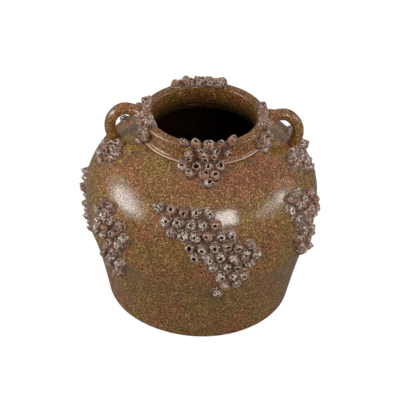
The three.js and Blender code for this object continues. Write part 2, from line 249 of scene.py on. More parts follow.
@dataclass
class Clay:
    """A mesh in the making.

    Attributes:
        points: The points in millimetres, one a row.
        faces: The faces, as the numbers of their points.
        marks: Values at each point, for the glaze.
    """

    points: np.ndarray
    faces: list[tuple[int, ...]]
    marks: dict[Mark, np.ndarray] = field(default_factory=dict)

    @property
    def height(self) -> np.ndarray:
        """Gives each point's height."""
        return self.points[:, 2]

    @property
    def across(self) -> np.ndarray:
        """Gives each point's distance from the jar's axis."""
        return np.linalg.norm(self.points[:, :2], axis=1)

    def piece(self, name: str) -> bpy.types.Object:
        """Makes the mesh's object, smooth-shaded and in metres.

        Args:
            name: The piece's name.

        Returns:
            The new object.
        """
        mesh = bpy.data.meshes.new(name)
        mesh.from_pydata((self.points * MM).tolist(), [], self.faces)
        mesh.validate()
        for mark, values in self.marks.items():
            layer = mesh.attributes.new(mark.value, "FLOAT", "POINT")
            layer.data.foreach_set("value", np.asarray(values, np.float32))
        mesh.shade_smooth()
        piece = bpy.data.objects.new(name, mesh)
        bpy.context.scene.collection.objects.link(piece)
        return piece


def turned(profile: np.ndarray, facets: int, ripple: Ripple | None = None) -> Clay:
    """Turns a closed or axis-to-axis profile round the jar's axis.

    Args:
        profile: Radius and height of each ring, one a row. A radius of nought is a point on the axis.
        facets: How many facets go round.
        ripple: The unevenness of the surface, if it has any.

    Returns:
        The turned surface, whose faces look to the right of the profile's direction.
    """
    angles = 2 * math.pi * np.arange(facets) / facets
    rows: list[np.ndarray] = []
    starts: list[int] = []
    total = 0
    for radius, height in profile:
        count = 1 if radius < NOUGHT else facets
        turn = angles[:count]
        ring = np.stack([radius * np.sin(turn), -radius * np.cos(turn), np.full(count, height)], axis=1)
        starts.append(total)
        rows.append(ring)
        total += count
    points = np.concatenate(rows)
    if ripple is not None:
        across = np.linalg.norm(points[:, :2], axis=1, keepdims=True)
        level = np.where(across > NOUGHT, points[:, :2] / np.maximum(across, NOUGHT), 0)
        points[:, :2] += level * ripple.at(points)[:, None]
    closed = np.allclose(profile[0], profile[-1])
    if closed:
        points = points[: total - facets]
        starts[-1] = starts[0]
    faces: list[tuple[int, ...]] = []
    for ring in range(len(profile) - 1):
        low, high = starts[ring], starts[ring + 1]
        for turn in range(facets):
            after = (turn + 1) % facets
            if profile[ring][0] < NOUGHT:
                faces.append((low, high + after, high + turn))
            elif profile[ring + 1][0] < NOUGHT:
                faces.append((low + turn, low + after, high))
            else:
                faces.append((low + turn, low + after, high + after, high + turn))
    return Clay(points, faces)


# Sizes and skins


@dataclass(frozen=True)
class JarSizes:
    """The jar's own sizes, the same as its solids'. Angles are in radians.

    Attributes:
        foot_radius: Of the foot above its bevel.
        foot_bevel: How wide and high that bevel is.
        foot_lean: How far the wall leans out there.
        belly_radius: Of the belly where it is widest.
        belly_height: The height there.
        seam_height: Of the seam, where the collar is luted on.
        seam_radius: The shoulder's there.
        shoulder_slope: The shoulder's fall there.
        wall: The wall's thickness.
        floor: The floor's thickness.
        floor_fillet: How high the round between floor and wall starts.
        foot_run: How far the foot's lean holds, as a share of the belly's height.
        belly_run_down: How far below its widest the belly stays upright, as a share of its height.
        belly_run_up: How far above it, as a share of the shoulder's height.
        shoulder_run: How far out the shoulder's slope holds, as a share of the shoulder's width.
        neck_radius: Of the neck's outside.
        mouth_radius: Of the neck's inside.
        collar_foot_radius: Of the bead round the collar's foot.
        collar_foot_height: Of that bead.
        bead_upright: How far up the bead is upright, as a share of its height.
        bead_corner: Where its curve would meet the neck without its round, likewise.
        bead_end: Where it has run out into the neck, likewise.
        lip_height: Of the lip's crest.
        lip_roll: How far the lip rolls out over the neck.
        lip_depth: How deep that roll is.
        lip_crest: How far the lip rounds in from each side.
        rim_fillet: Of the round between neck and shoulder under the rim's cups.
        clearance: Between the solids of pieces that are luted together.
    """

    foot_radius: float = 105.0
    foot_bevel: float = 2.5
    foot_lean: float = math.radians(10.7)
    belly_radius: float = 130.0
    belly_height: float = 138.0
    seam_height: float = 207.5
    seam_radius: float = 71.0
    shoulder_slope: float = math.radians(21.5)
    wall: float = 7.5
    floor: float = 9.0
    floor_fillet: float = 12.0
    foot_run: float = 0.9
    belly_run_down: float = 0.53
    belly_run_up: float = 0.14
    shoulder_run: float = 0.9
    neck_radius: float = 66.0
    mouth_radius: float = 57.6
    collar_foot_radius: float = 69.5
    collar_foot_height: float = 3.0
    bead_upright: float = 0.5
    bead_corner: float = 0.7
    bead_end: float = 2.0
    lip_height: float = 231.0
    lip_roll: float = 3.0
    lip_depth: float = 7.0
    lip_crest: float = 4.0
    rim_fillet: float = 11.0
    clearance: float = 0.3

    def outside(self) -> np.ndarray:
        """Gives the body's outside from the foot's bevel up to the seam.

        Returns:
            Radius and height, evenly spaced, one a row.
        """
        foot_run = self.foot_run * self.belly_height
        run = self.shoulder_run * (self.belly_radius - self.seam_radius)
        lean, slope = self.foot_lean, self.shoulder_slope
        rise = self.seam_height - self.belly_height
        radius, bevel = self.foot_radius, self.foot_bevel
        foot = (radius, bevel)
        foot_end = (radius + foot_run * math.sin(lean), bevel + foot_run * math.cos(lean))
        belly_start = (self.belly_radius, self.belly_height * (1 - self.belly_run_down))
        belly = (self.belly_radius, self.belly_height)
        belly_end = (self.belly_radius, self.belly_height + self.belly_run_up * rise)
        shoulder = (self.seam_radius + run * math.cos(slope), self.seam_height - run * math.sin(slope))
        seam = (self.seam_radius, self.seam_height)
        low = bezier([foot, foot_end, belly_start, belly], WALL_POINTS)
        high = bezier([belly, belly_end, shoulder, seam], WALL_POINTS)
        return respaced(np.concatenate([low, high[1:]]), WALL_STEP)

    def collar_outside(self) -> np.ndarray:
        """Gives the collar's outside from its foot bead up to the lip's crest.

        Returns:
            Radius and height, one a row.
        """
        foot, bead = self.seam_height + self.clearance, self.collar_foot_height
        lip, neck = self.neck_radius + self.lip_roll, self.neck_radius
        roll = self.lip_height - self.lip_depth
        bead_top = (self.collar_foot_radius, foot + self.bead_upright * bead)
        neck_start = (neck, foot + self.bead_end * bead)
        lip_side = (lip, self.lip_height - 0.5 * self.lip_depth)
        crest = (lip - self.lip_crest, self.lip_height)
        curves = [
            np.array([[self.collar_foot_radius, foot]]),
            bezier([bead_top, (neck, foot + self.bead_corner * bead), neck_start], ROUND_POINTS),
            bezier([neck_start, (neck, roll), (lip, roll), lip_side], NECK_POINTS)[1:],
            bezier([lip_side, (lip, self.lip_height), crest], ROUND_POINTS)[1:],
        ]
        return np.concatenate(curves)

    def collar_inside(self) -> np.ndarray:
        """Gives the collar's inside from the lip's crest down its bore.

        Returns:
            Radius and height, one a row.
        """
        crest = (self.mouth_radius + self.lip_crest, self.lip_height)
        corner = (self.mouth_radius, self.lip_height)
        below = (self.mouth_radius, self.lip_height - 0.5 * self.lip_depth)
        bottom = np.array([[self.mouth_radius, self.seam_height + self.clearance]])
        return np.concatenate([bezier([crest, corner, below], ROUND_POINTS), bottom])

    def bore_edge(self) -> np.ndarray:
        """Gives the lip's inner round, from the bore up to the crest."""
        return self.collar_inside()[-2::-1]

    def rim_skin(self) -> np.ndarray:
        """Gives what the rim's cups are pressed onto, from the bore over the lip and down the shoulder.

        Returns:
            Radius and height, one a row.
        """
        fillet_top = self.seam_height + self.rim_fillet
        shoulder = self.outside()[::-1]
        shoulder = shoulder[shoulder[:, 0] > self.neck_radius + self.rim_fillet]
        neck = self.collar_outside()[::-1]
        neck = neck[neck[:, 1] > fillet_top]
        top, corner = (self.neck_radius, fillet_top), (self.neck_radius, self.seam_height)
        fillet = bezier([top, corner, tuple(shoulder[0])], ROUND_POINTS)
        return np.concatenate([self.bore_edge(), neck, fillet, shoulder[1:]])


@dataclass
class Skin:
    """What cups are pressed onto: an open profile round the jar, followed by its length.

    Attributes:
        profile: Radius and height, one a row.
        softness: How far from a corner the clay that fills it reaches.
        facing_softness: The same for the direction in which cups stand.
        step: How far apart its points lie.
    """

    profile: np.ndarray
    softness: float = 1.0
    facing_softness: float = 3.0
    step: float = 0.25

    def __post_init__(self) -> None:
        """Evens the profile and softens its corners."""
        self.even = respaced(self.profile, self.step)
        self.lengths = lengths_along(self.even)
        self.soft = self.softened(self.softness)
        self.way = directions(self.softened(self.facing_softness))

    def softened(self, softness: float) -> np.ndarray:
        """Softens the even profile's corners.

        Args:
            softness: How far from a corner the softening reaches.

        Returns:
            The softened profile, point for point.
        """
        even = self.even
        reach = max(1, round(3 * softness / self.step))
        weights = np.exp(-0.5 * (np.arange(-reach, reach + 1) * self.step / softness) ** 2)
        padded = np.concatenate(
            [
                even[0] + (even[0] - even[1]) * np.arange(reach, 0, -1)[:, None],
                even,
                even[-1] + (even[-1] - even[-2]) * np.arange(1, reach + 1)[:, None],
            ]
        )
        weights /= weights.sum()
        return np.stack([np.convolve(column, weights, "valid") for column in padded.T], axis=1)

    def _read(self, values: np.ndarray, along: np.ndarray) -> np.ndarray:
        """Reads values at lengths along the skin."""
        return np.stack([np.interp(along, self.lengths, column) for column in values.T], axis=-1)

    def at(self, along: np.ndarray) -> np.ndarray:
        """Gives radius and height after each length along the skin."""
        return self._read(self.soft, along)

    def down(self, along: np.ndarray) -> np.ndarray:
        """Gives the skin's direction, away from the mouth, at each length along it."""
        return self._read(self.way, along)

    def length_to(self, height: float) -> float:
        """Gives the length at which the skin first comes down to a height."""
        falling = np.gradient(self.even[:, 1]) <= 0
        return float(self.lengths[np.argmax(falling & (self.even[:, 1] <= height))])


# Nodes of a finish


class Recipe:
    """The nodes of a material or of the world, joined as they are added."""

    def __init__(self, owner: bpy.types.Material | bpy.types.World) -> None:
        """Starts with no nodes.

        Args:
            owner: What the nodes belong to.
        """
        owner.use_nodes = True
        self.owner = owner
        self.tree = owner.node_tree
        self.tree.nodes.clear()

    def add(self, kind: str, inputs: dict | None = None, **settings: object) -> bpy.types.Node:
        """Adds a node, sets it up and feeds its sockets.

        Args:
            kind: The node's type.
            inputs: A value or another node's socket for each socket, by its name or number.
            **settings: The node's own settings.

        Returns:
            The new node.
        """
        node = self.tree.nodes.new(kind)
        for key, value in settings.items():
            setattr(node, key, value)
        for key, value in (inputs or {}).items():
            if isinstance(value, Socket):
                self.tree.links.new(value, node.inputs[key])
            else:
                node.inputs[key].default_value = value
        return node

    def place(self) -> Socket:
        """Gives each point's place on the piece."""
        return self.add("ShaderNodeTexCoord").outputs["Object"]

    def mark(self, mark: Mark) -> Socket:
        """Reads a mark that the mesh carries."""
        return self.add("ShaderNodeAttribute", attribute_name=mark.value).outputs["Fac"]

    def seen(self) -> Socket:
        """Gives 1 to what the camera sees, straight or through glass, and 0 to other light."""
        rays = self.add("ShaderNodeLightPath").outputs
        return self.sum("MAXIMUM", rays["Is Camera Ray"], rays["Is Transmission Ray"])

    def sum(self, operation: str, *values: object) -> Socket:
        """Works out a sum of the named kind from numbers or sockets."""
        return self.add("ShaderNodeMath", dict(enumerate(values)), operation=operation).outputs[0]

    def noise(self, where: Socket, size: float, seed: float = 0.0) -> Socket:
        """Adds soft noise.

        Args:
            where: The place at which the noise is read.
            size: The size of its blotches in millimetres.
            seed: Another seed gives other blotches.

        Returns:
            The noise, from 0 to 1.
        """
        shift = tuple(seed * way for way in SEED_WAY)
        moved = self.add("ShaderNodeVectorMath", {0: where, 1: shift}, operation="ADD").outputs[0]
        inputs = {"Vector": moved, "Scale": 1 / (size * MM), "Detail": DETAIL, "Roughness": DETAIL_SHARE}
        return self.add("ShaderNodeTexNoise", inputs).outputs[0]

    def ramp(self, value: Socket, stops: Stops, hard: bool = False) -> Socket:
        """Adds a colour ramp.

        Args:
            value: What the ramp is read at.
            stops: Each place with its colour.
            hard: Whether a colour holds until the next one's place.

        Returns:
            The ramp's colour.
        """
        node = self.add("ShaderNodeValToRGB", {0: value})
        node.color_ramp.interpolation = "CONSTANT" if hard else "LINEAR"
        stones = node.color_ramp.elements
        while len(stones) < len(stops):
            stones.new(0.5)
        for stone, (place, colour) in zip(stones, stops):
            stone.position = place
            stone.color = colour
        return node.outputs["Color"]

    def chips(self, where: Socket, size: float, stops: Stops) -> Socket:
        """Adds chips that lie side by side, each of one colour.

        Args:
            where: The place at which the chips are read.
            size: About how large each chip is, in millimetres.
            stops: The chips' colours, each from a share of them up to the next.

        Returns:
            The chip's colour.
        """
        inputs = {"Vector": where, "Scale": 1 / (size * MM)}
        cells = self.add("ShaderNodeTexVoronoi", inputs, feature="F1")
        chance = self.add("ShaderNodeSeparateColor", {0: cells.outputs["Color"]}).outputs[0]
        return self.ramp(chance, stops, hard=True)

    def mixed(self, share: object, low: object, high: object, blend: str = "MIX") -> Socket:
        """Adds a mix of two colours.

        Args:
            share: The share of the second colour.
            low: The first colour.
            high: The second colour.
            blend: How the second colour is laid over the first.

        Returns:
            The mixed colour.
        """
        node = self.add("ShaderNodeMix", {0: share, 6: low, 7: high}, data_type="RGBA", blend_type=blend)
        return node.outputs[2]

    def scaled(self, colour: Socket, shares: tuple[Socket, Socket, Socket]) -> Socket:
        """Multiplies a colour's red, green and blue by shares of their own."""
        factor = self.add("ShaderNodeCombineColor", dict(enumerate(shares))).outputs[0]
        return self.mixed(1.0, colour, factor, "MULTIPLY")

    def spread(self, value: Socket, low: float, high: float, start: float = 0.0, end: float = 1.0) -> Socket:
        """Maps a value from one range to another, held at its ends.

        Args:
            value: The value.
            low: What it becomes at the range's start.
            high: What it becomes at the range's end.
            start: The start of its own range.
            end: The end of its own range.

        Returns:
            The mapped value.
        """
        return self.add("ShaderNodeMapRange", {0: value, 1: start, 2: end, 3: low, 4: high}).outputs[0]

    def bumped(self, height: Socket, depth: float, strength: float, under: Socket | None = None) -> Socket:
        """Adds a bump.

        Args:
            height: The bump's height, from 0 to 1.
            depth: How deep it goes, in millimetres.
            strength: How much of it shows.
            under: Another bump that it lies over.

        Returns:
            The bumped normal.
        """
        inputs = {"Height": height, "Distance": depth * MM, "Strength": strength}
        if under is not None:
            inputs["Normal"] = under
        return self.add("ShaderNodeBump", inputs).outputs[0]

    def finished(self, surface: Socket) -> bpy.types.Material:
        """Joins the surface's shader to the material's output.

        Args:
            surface: The shader's socket.

        Returns:
            The finished material.
        """
        self.add("ShaderNodeOutputMaterial", {"Surface": surface})
        return self.owner


@dataclass(frozen=True)
class SpeckledGlaze:
    """The jar's glossy olive and red-brown glaze, full of fine specks, with painted shade in the hollow and
    a painted highlight on the collar's bead and lip. Sizes are in millimetres.

    Attributes:
        name: The material's name.
        chip_size: The size of its coarse specks.
        chips: Their colours, each from a share of them up to the next.
        grain_size: The size of its fine specks.
        grain: Their colours, from the darkest to the palest.
        grain_share: How much of the fine specks shows over the coarse ones.
        drift_size: The size of the places that have fired more olive or redder.
        drifts: What they make of each channel, from olive to red.
        patch_weight: What a mark of redness adds to those places.
        cloud_size: The size of its paler and darker clouds.
        cloud_depth: How much these darken and lighten it.
        peel_size: The size of the soft waves in its surface.
        peel_depth: How deep they go.
        peel_strength: How much of them shows.
        speck_depth: How deep the fine specks go.
        speck_strength: How much of that shows.
        highlight_colour: The painted highlight's colour, on the collar's bead and the lip's crest.
        highlight_share: How much of that colour shows where the painted highlight is strongest.
        painted_shade: Its colour deep in the jar, a painted shade: near black where the hollow gets little
            light.
        roughness: How rough it is under its glass, at a dark and at a pale speck.
        coat: How much glass lies on a dark and on a pale speck.
        coat_roughness: The roughness of its glass.
        coat_ior: How strongly its glass bends light.
    """

    name: str = "speckled_glaze"
    chip_size: float = 1.15
    chips: Stops = (
        (0.0, linear(28, 12, 4)),
        (0.18, linear(84, 34, 14)),
        (0.34, linear(84, 68, 22)),
        (0.5, linear(124, 74, 36)),
        (0.66, linear(130, 106, 46)),
        (0.8, linear(166, 108, 74)),
        (0.92, linear(212, 186, 124)),
    )
    grain_size: float = 0.95
    grain: Stops = ((0.4, linear(34, 15, 6)), (0.5, linear(112, 74, 36)), (0.6, linear(200, 158, 108)))
    grain_share: float = 0.45
    drift_size: float = 45.0
    drifts: Stops = (
        (0.36, (1.02, 1.06, 0.66, 1)),
        (0.49, (1.07, 0.98, 0.74, 1)),
        (0.64, (1.17, 0.86, 0.88, 1)),
    )
    patch_weight: float = 0.1
    cloud_size: float = 14.0
    cloud_depth: float = 0.14
    peel_size: float = 3.2
    peel_depth: float = 0.3
    peel_strength: float = 0.32
    speck_depth: float = 0.15
    speck_strength: float = 0.35
    # Painted highlight: a pale line along the collar's bead and the lip's crest
    highlight_colour: Colour = linear(222, 192, 174)
    highlight_share: float = 0.85
    # Painted shade: a near-black colour for the inside of the jar, where little light reaches
    painted_shade: Colour = linear(20, 9, 5)
    roughness: tuple[float, float] = (0.55, 0.3)
    coat: tuple[float, float] = (0.2, 1.0)
    coat_roughness: float = 0.16
    coat_ior: float = 1.7

    def material(self) -> bpy.types.Material:
        """Makes the glaze's material.

        Returns:
            The material.
        """
        recipe = Recipe(bpy.data.materials.new(self.name))
        where, inside = recipe.place(), recipe.mark(Mark.HOLLOW_SHADE)
        fine = recipe.noise(where, self.grain_size, seed=1.0)
        chips = recipe.chips(where, self.chip_size, self.chips)
        body = recipe.mixed(self.grain_share, chips, recipe.ramp(fine, self.grain))
        drift = recipe.noise(where, self.drift_size, seed=3.0)
        patch = recipe.sum("MULTIPLY_ADD", recipe.mark(Mark.RUDDY), self.patch_weight, drift)
        tinted = recipe.mixed(1.0, body, recipe.ramp(patch, self.drifts), "MULTIPLY")
        cloud = recipe.noise(where, self.cloud_size, seed=7.0)
        level = recipe.spread(cloud, 1 - self.cloud_depth, 1 + self.cloud_depth, start=0.3, end=0.7)
        clouded = recipe.scaled(tinted, (level, level, level))
        # Painted highlight mixed into the colour on the bead and the lip's crest
        painted_highlight = recipe.mixed(recipe.spread(recipe.mark(Mark.HIGHLIGHT), 0.0, self.highlight_share), clouded, self.highlight_colour)
        waves = recipe.noise(where, self.peel_size, seed=11.0)
        peel = recipe.bumped(waves, self.peel_depth, self.peel_strength)
        pitted = recipe.spread(fine, *self.coat, start=0.38, end=0.5)
        shader = recipe.add(
            "ShaderNodeBsdfPrincipled",
            {
                # Painted shade: the hollow's colour is mixed towards near black, and its glass coat is taken
                # away
                "Base Color": recipe.mixed(inside, painted_highlight, self.painted_shade),
                "Roughness": recipe.spread(fine, *self.roughness, start=0.38, end=0.58),
                "Specular IOR Level": 0.0,
                "Normal": recipe.bumped(fine, self.speck_depth, self.speck_strength, under=peel),
                "Coat Weight": recipe.sum("MULTIPLY", pitted, recipe.spread(inside, 1.0, 0.0)),
                "Coat Roughness": self.coat_roughness,
                "Coat IOR": self.coat_ior,
                "Coat Normal": peel,
            },
        )
        return recipe.finished(shader.outputs[0])


@dataclass(frozen=True)
class CupGlaze:
    """The cups' pale lavender glaze, which breaks to rust and olive; painted shade makes it near black in
    the pits and darkens it between cups.

    Attributes:
        name: The material's name.
        mottle_size: The size of its blotches, in millimetres.
        mottle: Their colours, from the darkest to the palest; the white top is partly pale glaze, partly
            painted glints.
        speck_size: The size of its fine specks, in millimetres.
        specks: Their colours over the whole cup.
        rust: Their colours on a cup that has fired brown.
        ground: Their colours low on a cup.
        fleck_size: The size of its hard flecks, in millimetres.
        flecks: The flecks' colours, each from a share of them up to the next; the white ones are partly pale
            glaze, partly painted glints.
        speck_share: How much of the fine specks shows over the blotches.
        fleck_share: How much of the hard flecks shows over both.
        rust_share: How much rust shows on the brownest cup.
        rust_end: How pale the first cup without rust is.
        ground_share: How much of the colours low on a cup shows there.
        brim: Its colour where it breaks pale on a brim, also the painted highlight on a flange's upper
            crescent.
        rust_and_shade: Its colour between cups: dark rust glaze pooled there, with painted shade.
        rust_and_shade_share: How much of that colour shows where it is deepest.
        pit: Its colour in a cup's hole, a painted shade: near black.
        tones: What a dark and a pale cup make of red, green and blue.
        roughness: How rough it is under its glass.
        shine: How much that layer shines.
        coat_roughness: The roughness of its glass.
        coat_ior: How strongly its glass bends light.
    """

    name: str = "cup_glaze"
    mottle_size: float = 2.5
    mottle: Stops = (
        (0.43, linear(30, 11, 3)),
        (0.48, linear(104, 48, 16)),
        (0.53, linear(122, 86, 46)),
        (0.57, linear(170, 150, 132)),
        # Partly pale glaze, partly painted glints
        (0.61, linear(255, 254, 255)),
    )
    speck_size: float = 1.1
    specks: Stops = ((0.42, linear(40, 14, 5)), (0.5, linear(118, 66, 32)), (0.58, linear(242, 234, 230)))
    rust: Stops = ((0.42, linear(50, 16, 4)), (0.5, linear(134, 62, 22)), (0.58, linear(206, 140, 92)))
    ground: Stops = ((0.42, linear(40, 14, 4)), (0.5, linear(104, 54, 20)), (0.58, linear(166, 114, 60)))
    fleck_size: float = 1.5
    flecks: Stops = (
        (0.0, linear(14, 5, 2)),
        (0.28, linear(138, 50, 14)),
        (0.48, linear(112, 82, 40)),
        (0.7, linear(156, 138, 122)),
        # White flecks: partly pale glaze, partly painted glints
        (0.85, linear(255, 255, 255)),
    )
    speck_share: float = 0.25
    fleck_share: float = 0.55
    rust_share: float = 0.85
    rust_end: float = 0.55
    ground_share: float = 0.9
    # Pale glaze on the brims, also a painted highlight along each flange's raised upper crescent
    brim: Colour = linear(220, 204, 190)
    # Dark rust with painted shade, between cups and in the groove round each ball
    rust_and_shade: Colour = linear(36, 16, 6)
    rust_and_shade_share: float = 0.92
    # Painted shade: near black in each cup's hole
    pit: Colour = linear(8, 4, 3)
    tones: tuple[tuple[float, float], ...] = ((0.87, 1.28), (0.84, 1.22), (0.78, 1.14))
    roughness: float = 0.5
    shine: float = 0.15
    coat_roughness: float = 0.06
    coat_ior: float = 1.7

    def material(self) -> bpy.types.Material:
        """Makes the glaze's material.

        Returns:
            The material.
        """
        recipe = Recipe(bpy.data.materials.new(self.name))
        where, own = recipe.place(), recipe.mark(Mark.CUP)
        rust_and_shade, pit = recipe.mark(Mark.CREVICE_RUST_AND_SHADE), recipe.mark(Mark.PIT)
        mottle = recipe.noise(where, self.mottle_size, seed=2.0)
        fine = recipe.noise(where, self.speck_size, seed=5.0)
        blotches, specks = recipe.ramp(mottle, self.mottle), recipe.ramp(fine, self.specks)
        soft = recipe.mixed(self.speck_share, blotches, specks)
        skin = recipe.mixed(self.fleck_share, soft, recipe.chips(where, self.fleck_size, self.flecks))
        brown = recipe.spread(own, self.rust_share, 0.0, end=self.rust_end)
        browned = recipe.mixed(brown, skin, recipe.ramp(fine, self.rust))
        shifted = recipe.spread(mottle, -0.25, 0.25, start=0.36, end=0.64)
        lifted = recipe.sum("ADD", recipe.mark(Mark.RELIEF), shifted)
        low = recipe.spread(lifted, self.ground_share, 0.0, start=0.1, end=0.5)
        grounded = recipe.mixed(low, browned, recipe.ramp(fine, self.ground))
        # Partly pale glaze breaking on the brims, partly a painted highlight on the flanges' upper crescents
        broken = recipe.spread(mottle, 0.0, 1.0, start=0.44, end=0.56)
        pale = recipe.sum("MULTIPLY", recipe.mark(Mark.BRIM), broken)
        brimmed = recipe.mixed(pale, grounded, self.brim)
        # Rust and painted shade mixed in between cups
        creased = recipe.mixed(recipe.spread(rust_and_shade, 0.0, self.rust_and_shade_share), brimmed, self.rust_and_shade)
        shares = tuple(recipe.spread(own, dark, light) for dark, light in self.tones)
        varied = recipe.scaled(creased, shares)
        waves = recipe.bumped(mottle, depth=0.6, strength=0.6)
        normal = recipe.bumped(fine, depth=0.5, strength=0.9, under=waves)
        shader = recipe.add(
            "ShaderNodeBsdfPrincipled",
            {
                # Painted shade: a cup's hole turns near black
                "Base Color": recipe.mixed(pit, varied, self.pit),
                "Roughness": self.roughness,
                "Specular IOR Level": self.shine,
                "Normal": normal,
                "Coat Weight": recipe.spread(recipe.sum("MAXIMUM", pit, rust_and_shade), 1.0, 0.0),
                "Coat Roughness": self.coat_roughness,
                "Coat IOR": self.coat_ior,
                "Coat Normal": normal,
            },
        )
        return recipe.finished(shader.outputs[0])


@dataclass(frozen=True)
class PaleFloor:
    """A plain white floor that keeps the jar's shadow.

    Attributes:
        name: The material's name.
        glow: The share of its white that it shows of itself.
        paleness: How pale its matt surface is.
        fleece: How much paler that surface is in places.
        fleece_size: The size of those places, in millimetres.
    """

    name: str = "pale_floor"
    glow: float = 0.84
    paleness: float = 0.3
    fleece: float = 1.02
    fleece_size: float = 30.0

    def material(self) -> bpy.types.Material:
        """Makes the floor's material.

        Returns:
            The material.
        """
        recipe = Recipe(bpy.data.materials.new(self.name))
        greys = (self.paleness, self.paleness * self.fleece)
        stops = tuple((place, (grey, grey, grey, 1)) for place, grey in zip((0.0, 1.0), greys))
        tone = recipe.ramp(recipe.noise(recipe.place(), self.fleece_size), stops)
        matt = recipe.add("ShaderNodeBsdfDiffuse", {"Color": tone})
        strength = recipe.spread(recipe.seen(), 0.0, self.glow)
        light = recipe.add("ShaderNodeEmission", {"Color": WHITE, "Strength": strength})
        glowing = recipe.add("ShaderNodeAddShader", {0: matt.outputs[0], 1: light.outputs[0]})
        return recipe.finished(glowing.outputs[0])


def dressed(piece: bpy.types.Object, finish: bpy.types.Material, node: str) -> bpy.types.Object:
    """Gives a piece its finish and its body, and hides the solid that it stands for.

    Args:
        piece: The piece.
        finish: Its material.
        node: The solid's name.

    Returns:
        The same piece.
    """
    piece.data.materials.append(finish)
    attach(piece, ROOT_BODY)
    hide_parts(node)
    return piece


# The jar's pieces


# What a patch's ridge reaches, as a share of the patch's own reach
PATCH_REACH = 0.7 * math.sqrt(2)


@dataclass(frozen=True)
class Patch:
    """A place on the body where the glaze has fired redder or more olive.

    Attributes:
        azimuth: Its middle's, in degrees to the right of the front.
        height: Its middle's height.
        reach: How far it reaches.
        ruddy: How red it is, or how olive if negative.
    """

    azimuth: float
    height: float
    reach: float
    ruddy: float


BODY_PATCHES = (
    Patch(-31, 202, 16, -1.3),
    Patch(-72, 200, 14, -0.8),
    Patch(-43, 190, 14, 0.2),
    Patch(60, 190, 20, 1.0),
    Patch(32, 197, 12, 0.4),
    Patch(-43, 30, 24, 0.9),
    Patch(33, 123, 20, 0.9),
    Patch(24, 58, 34, -1.0),
    Patch(0, 30, 36, -0.8),
    Patch(-26, 173, 16, 0.6),
    Patch(-14, 131, 22, -0.7),
    Patch(-87, 161, 28, 0.8),
    Patch(-25, 80, 30, -0.5),
    Patch(140, 120, 34, 0.8),
    Patch(180, 70, 40, -0.9),
    Patch(-150, 110, 34, 0.7),
)


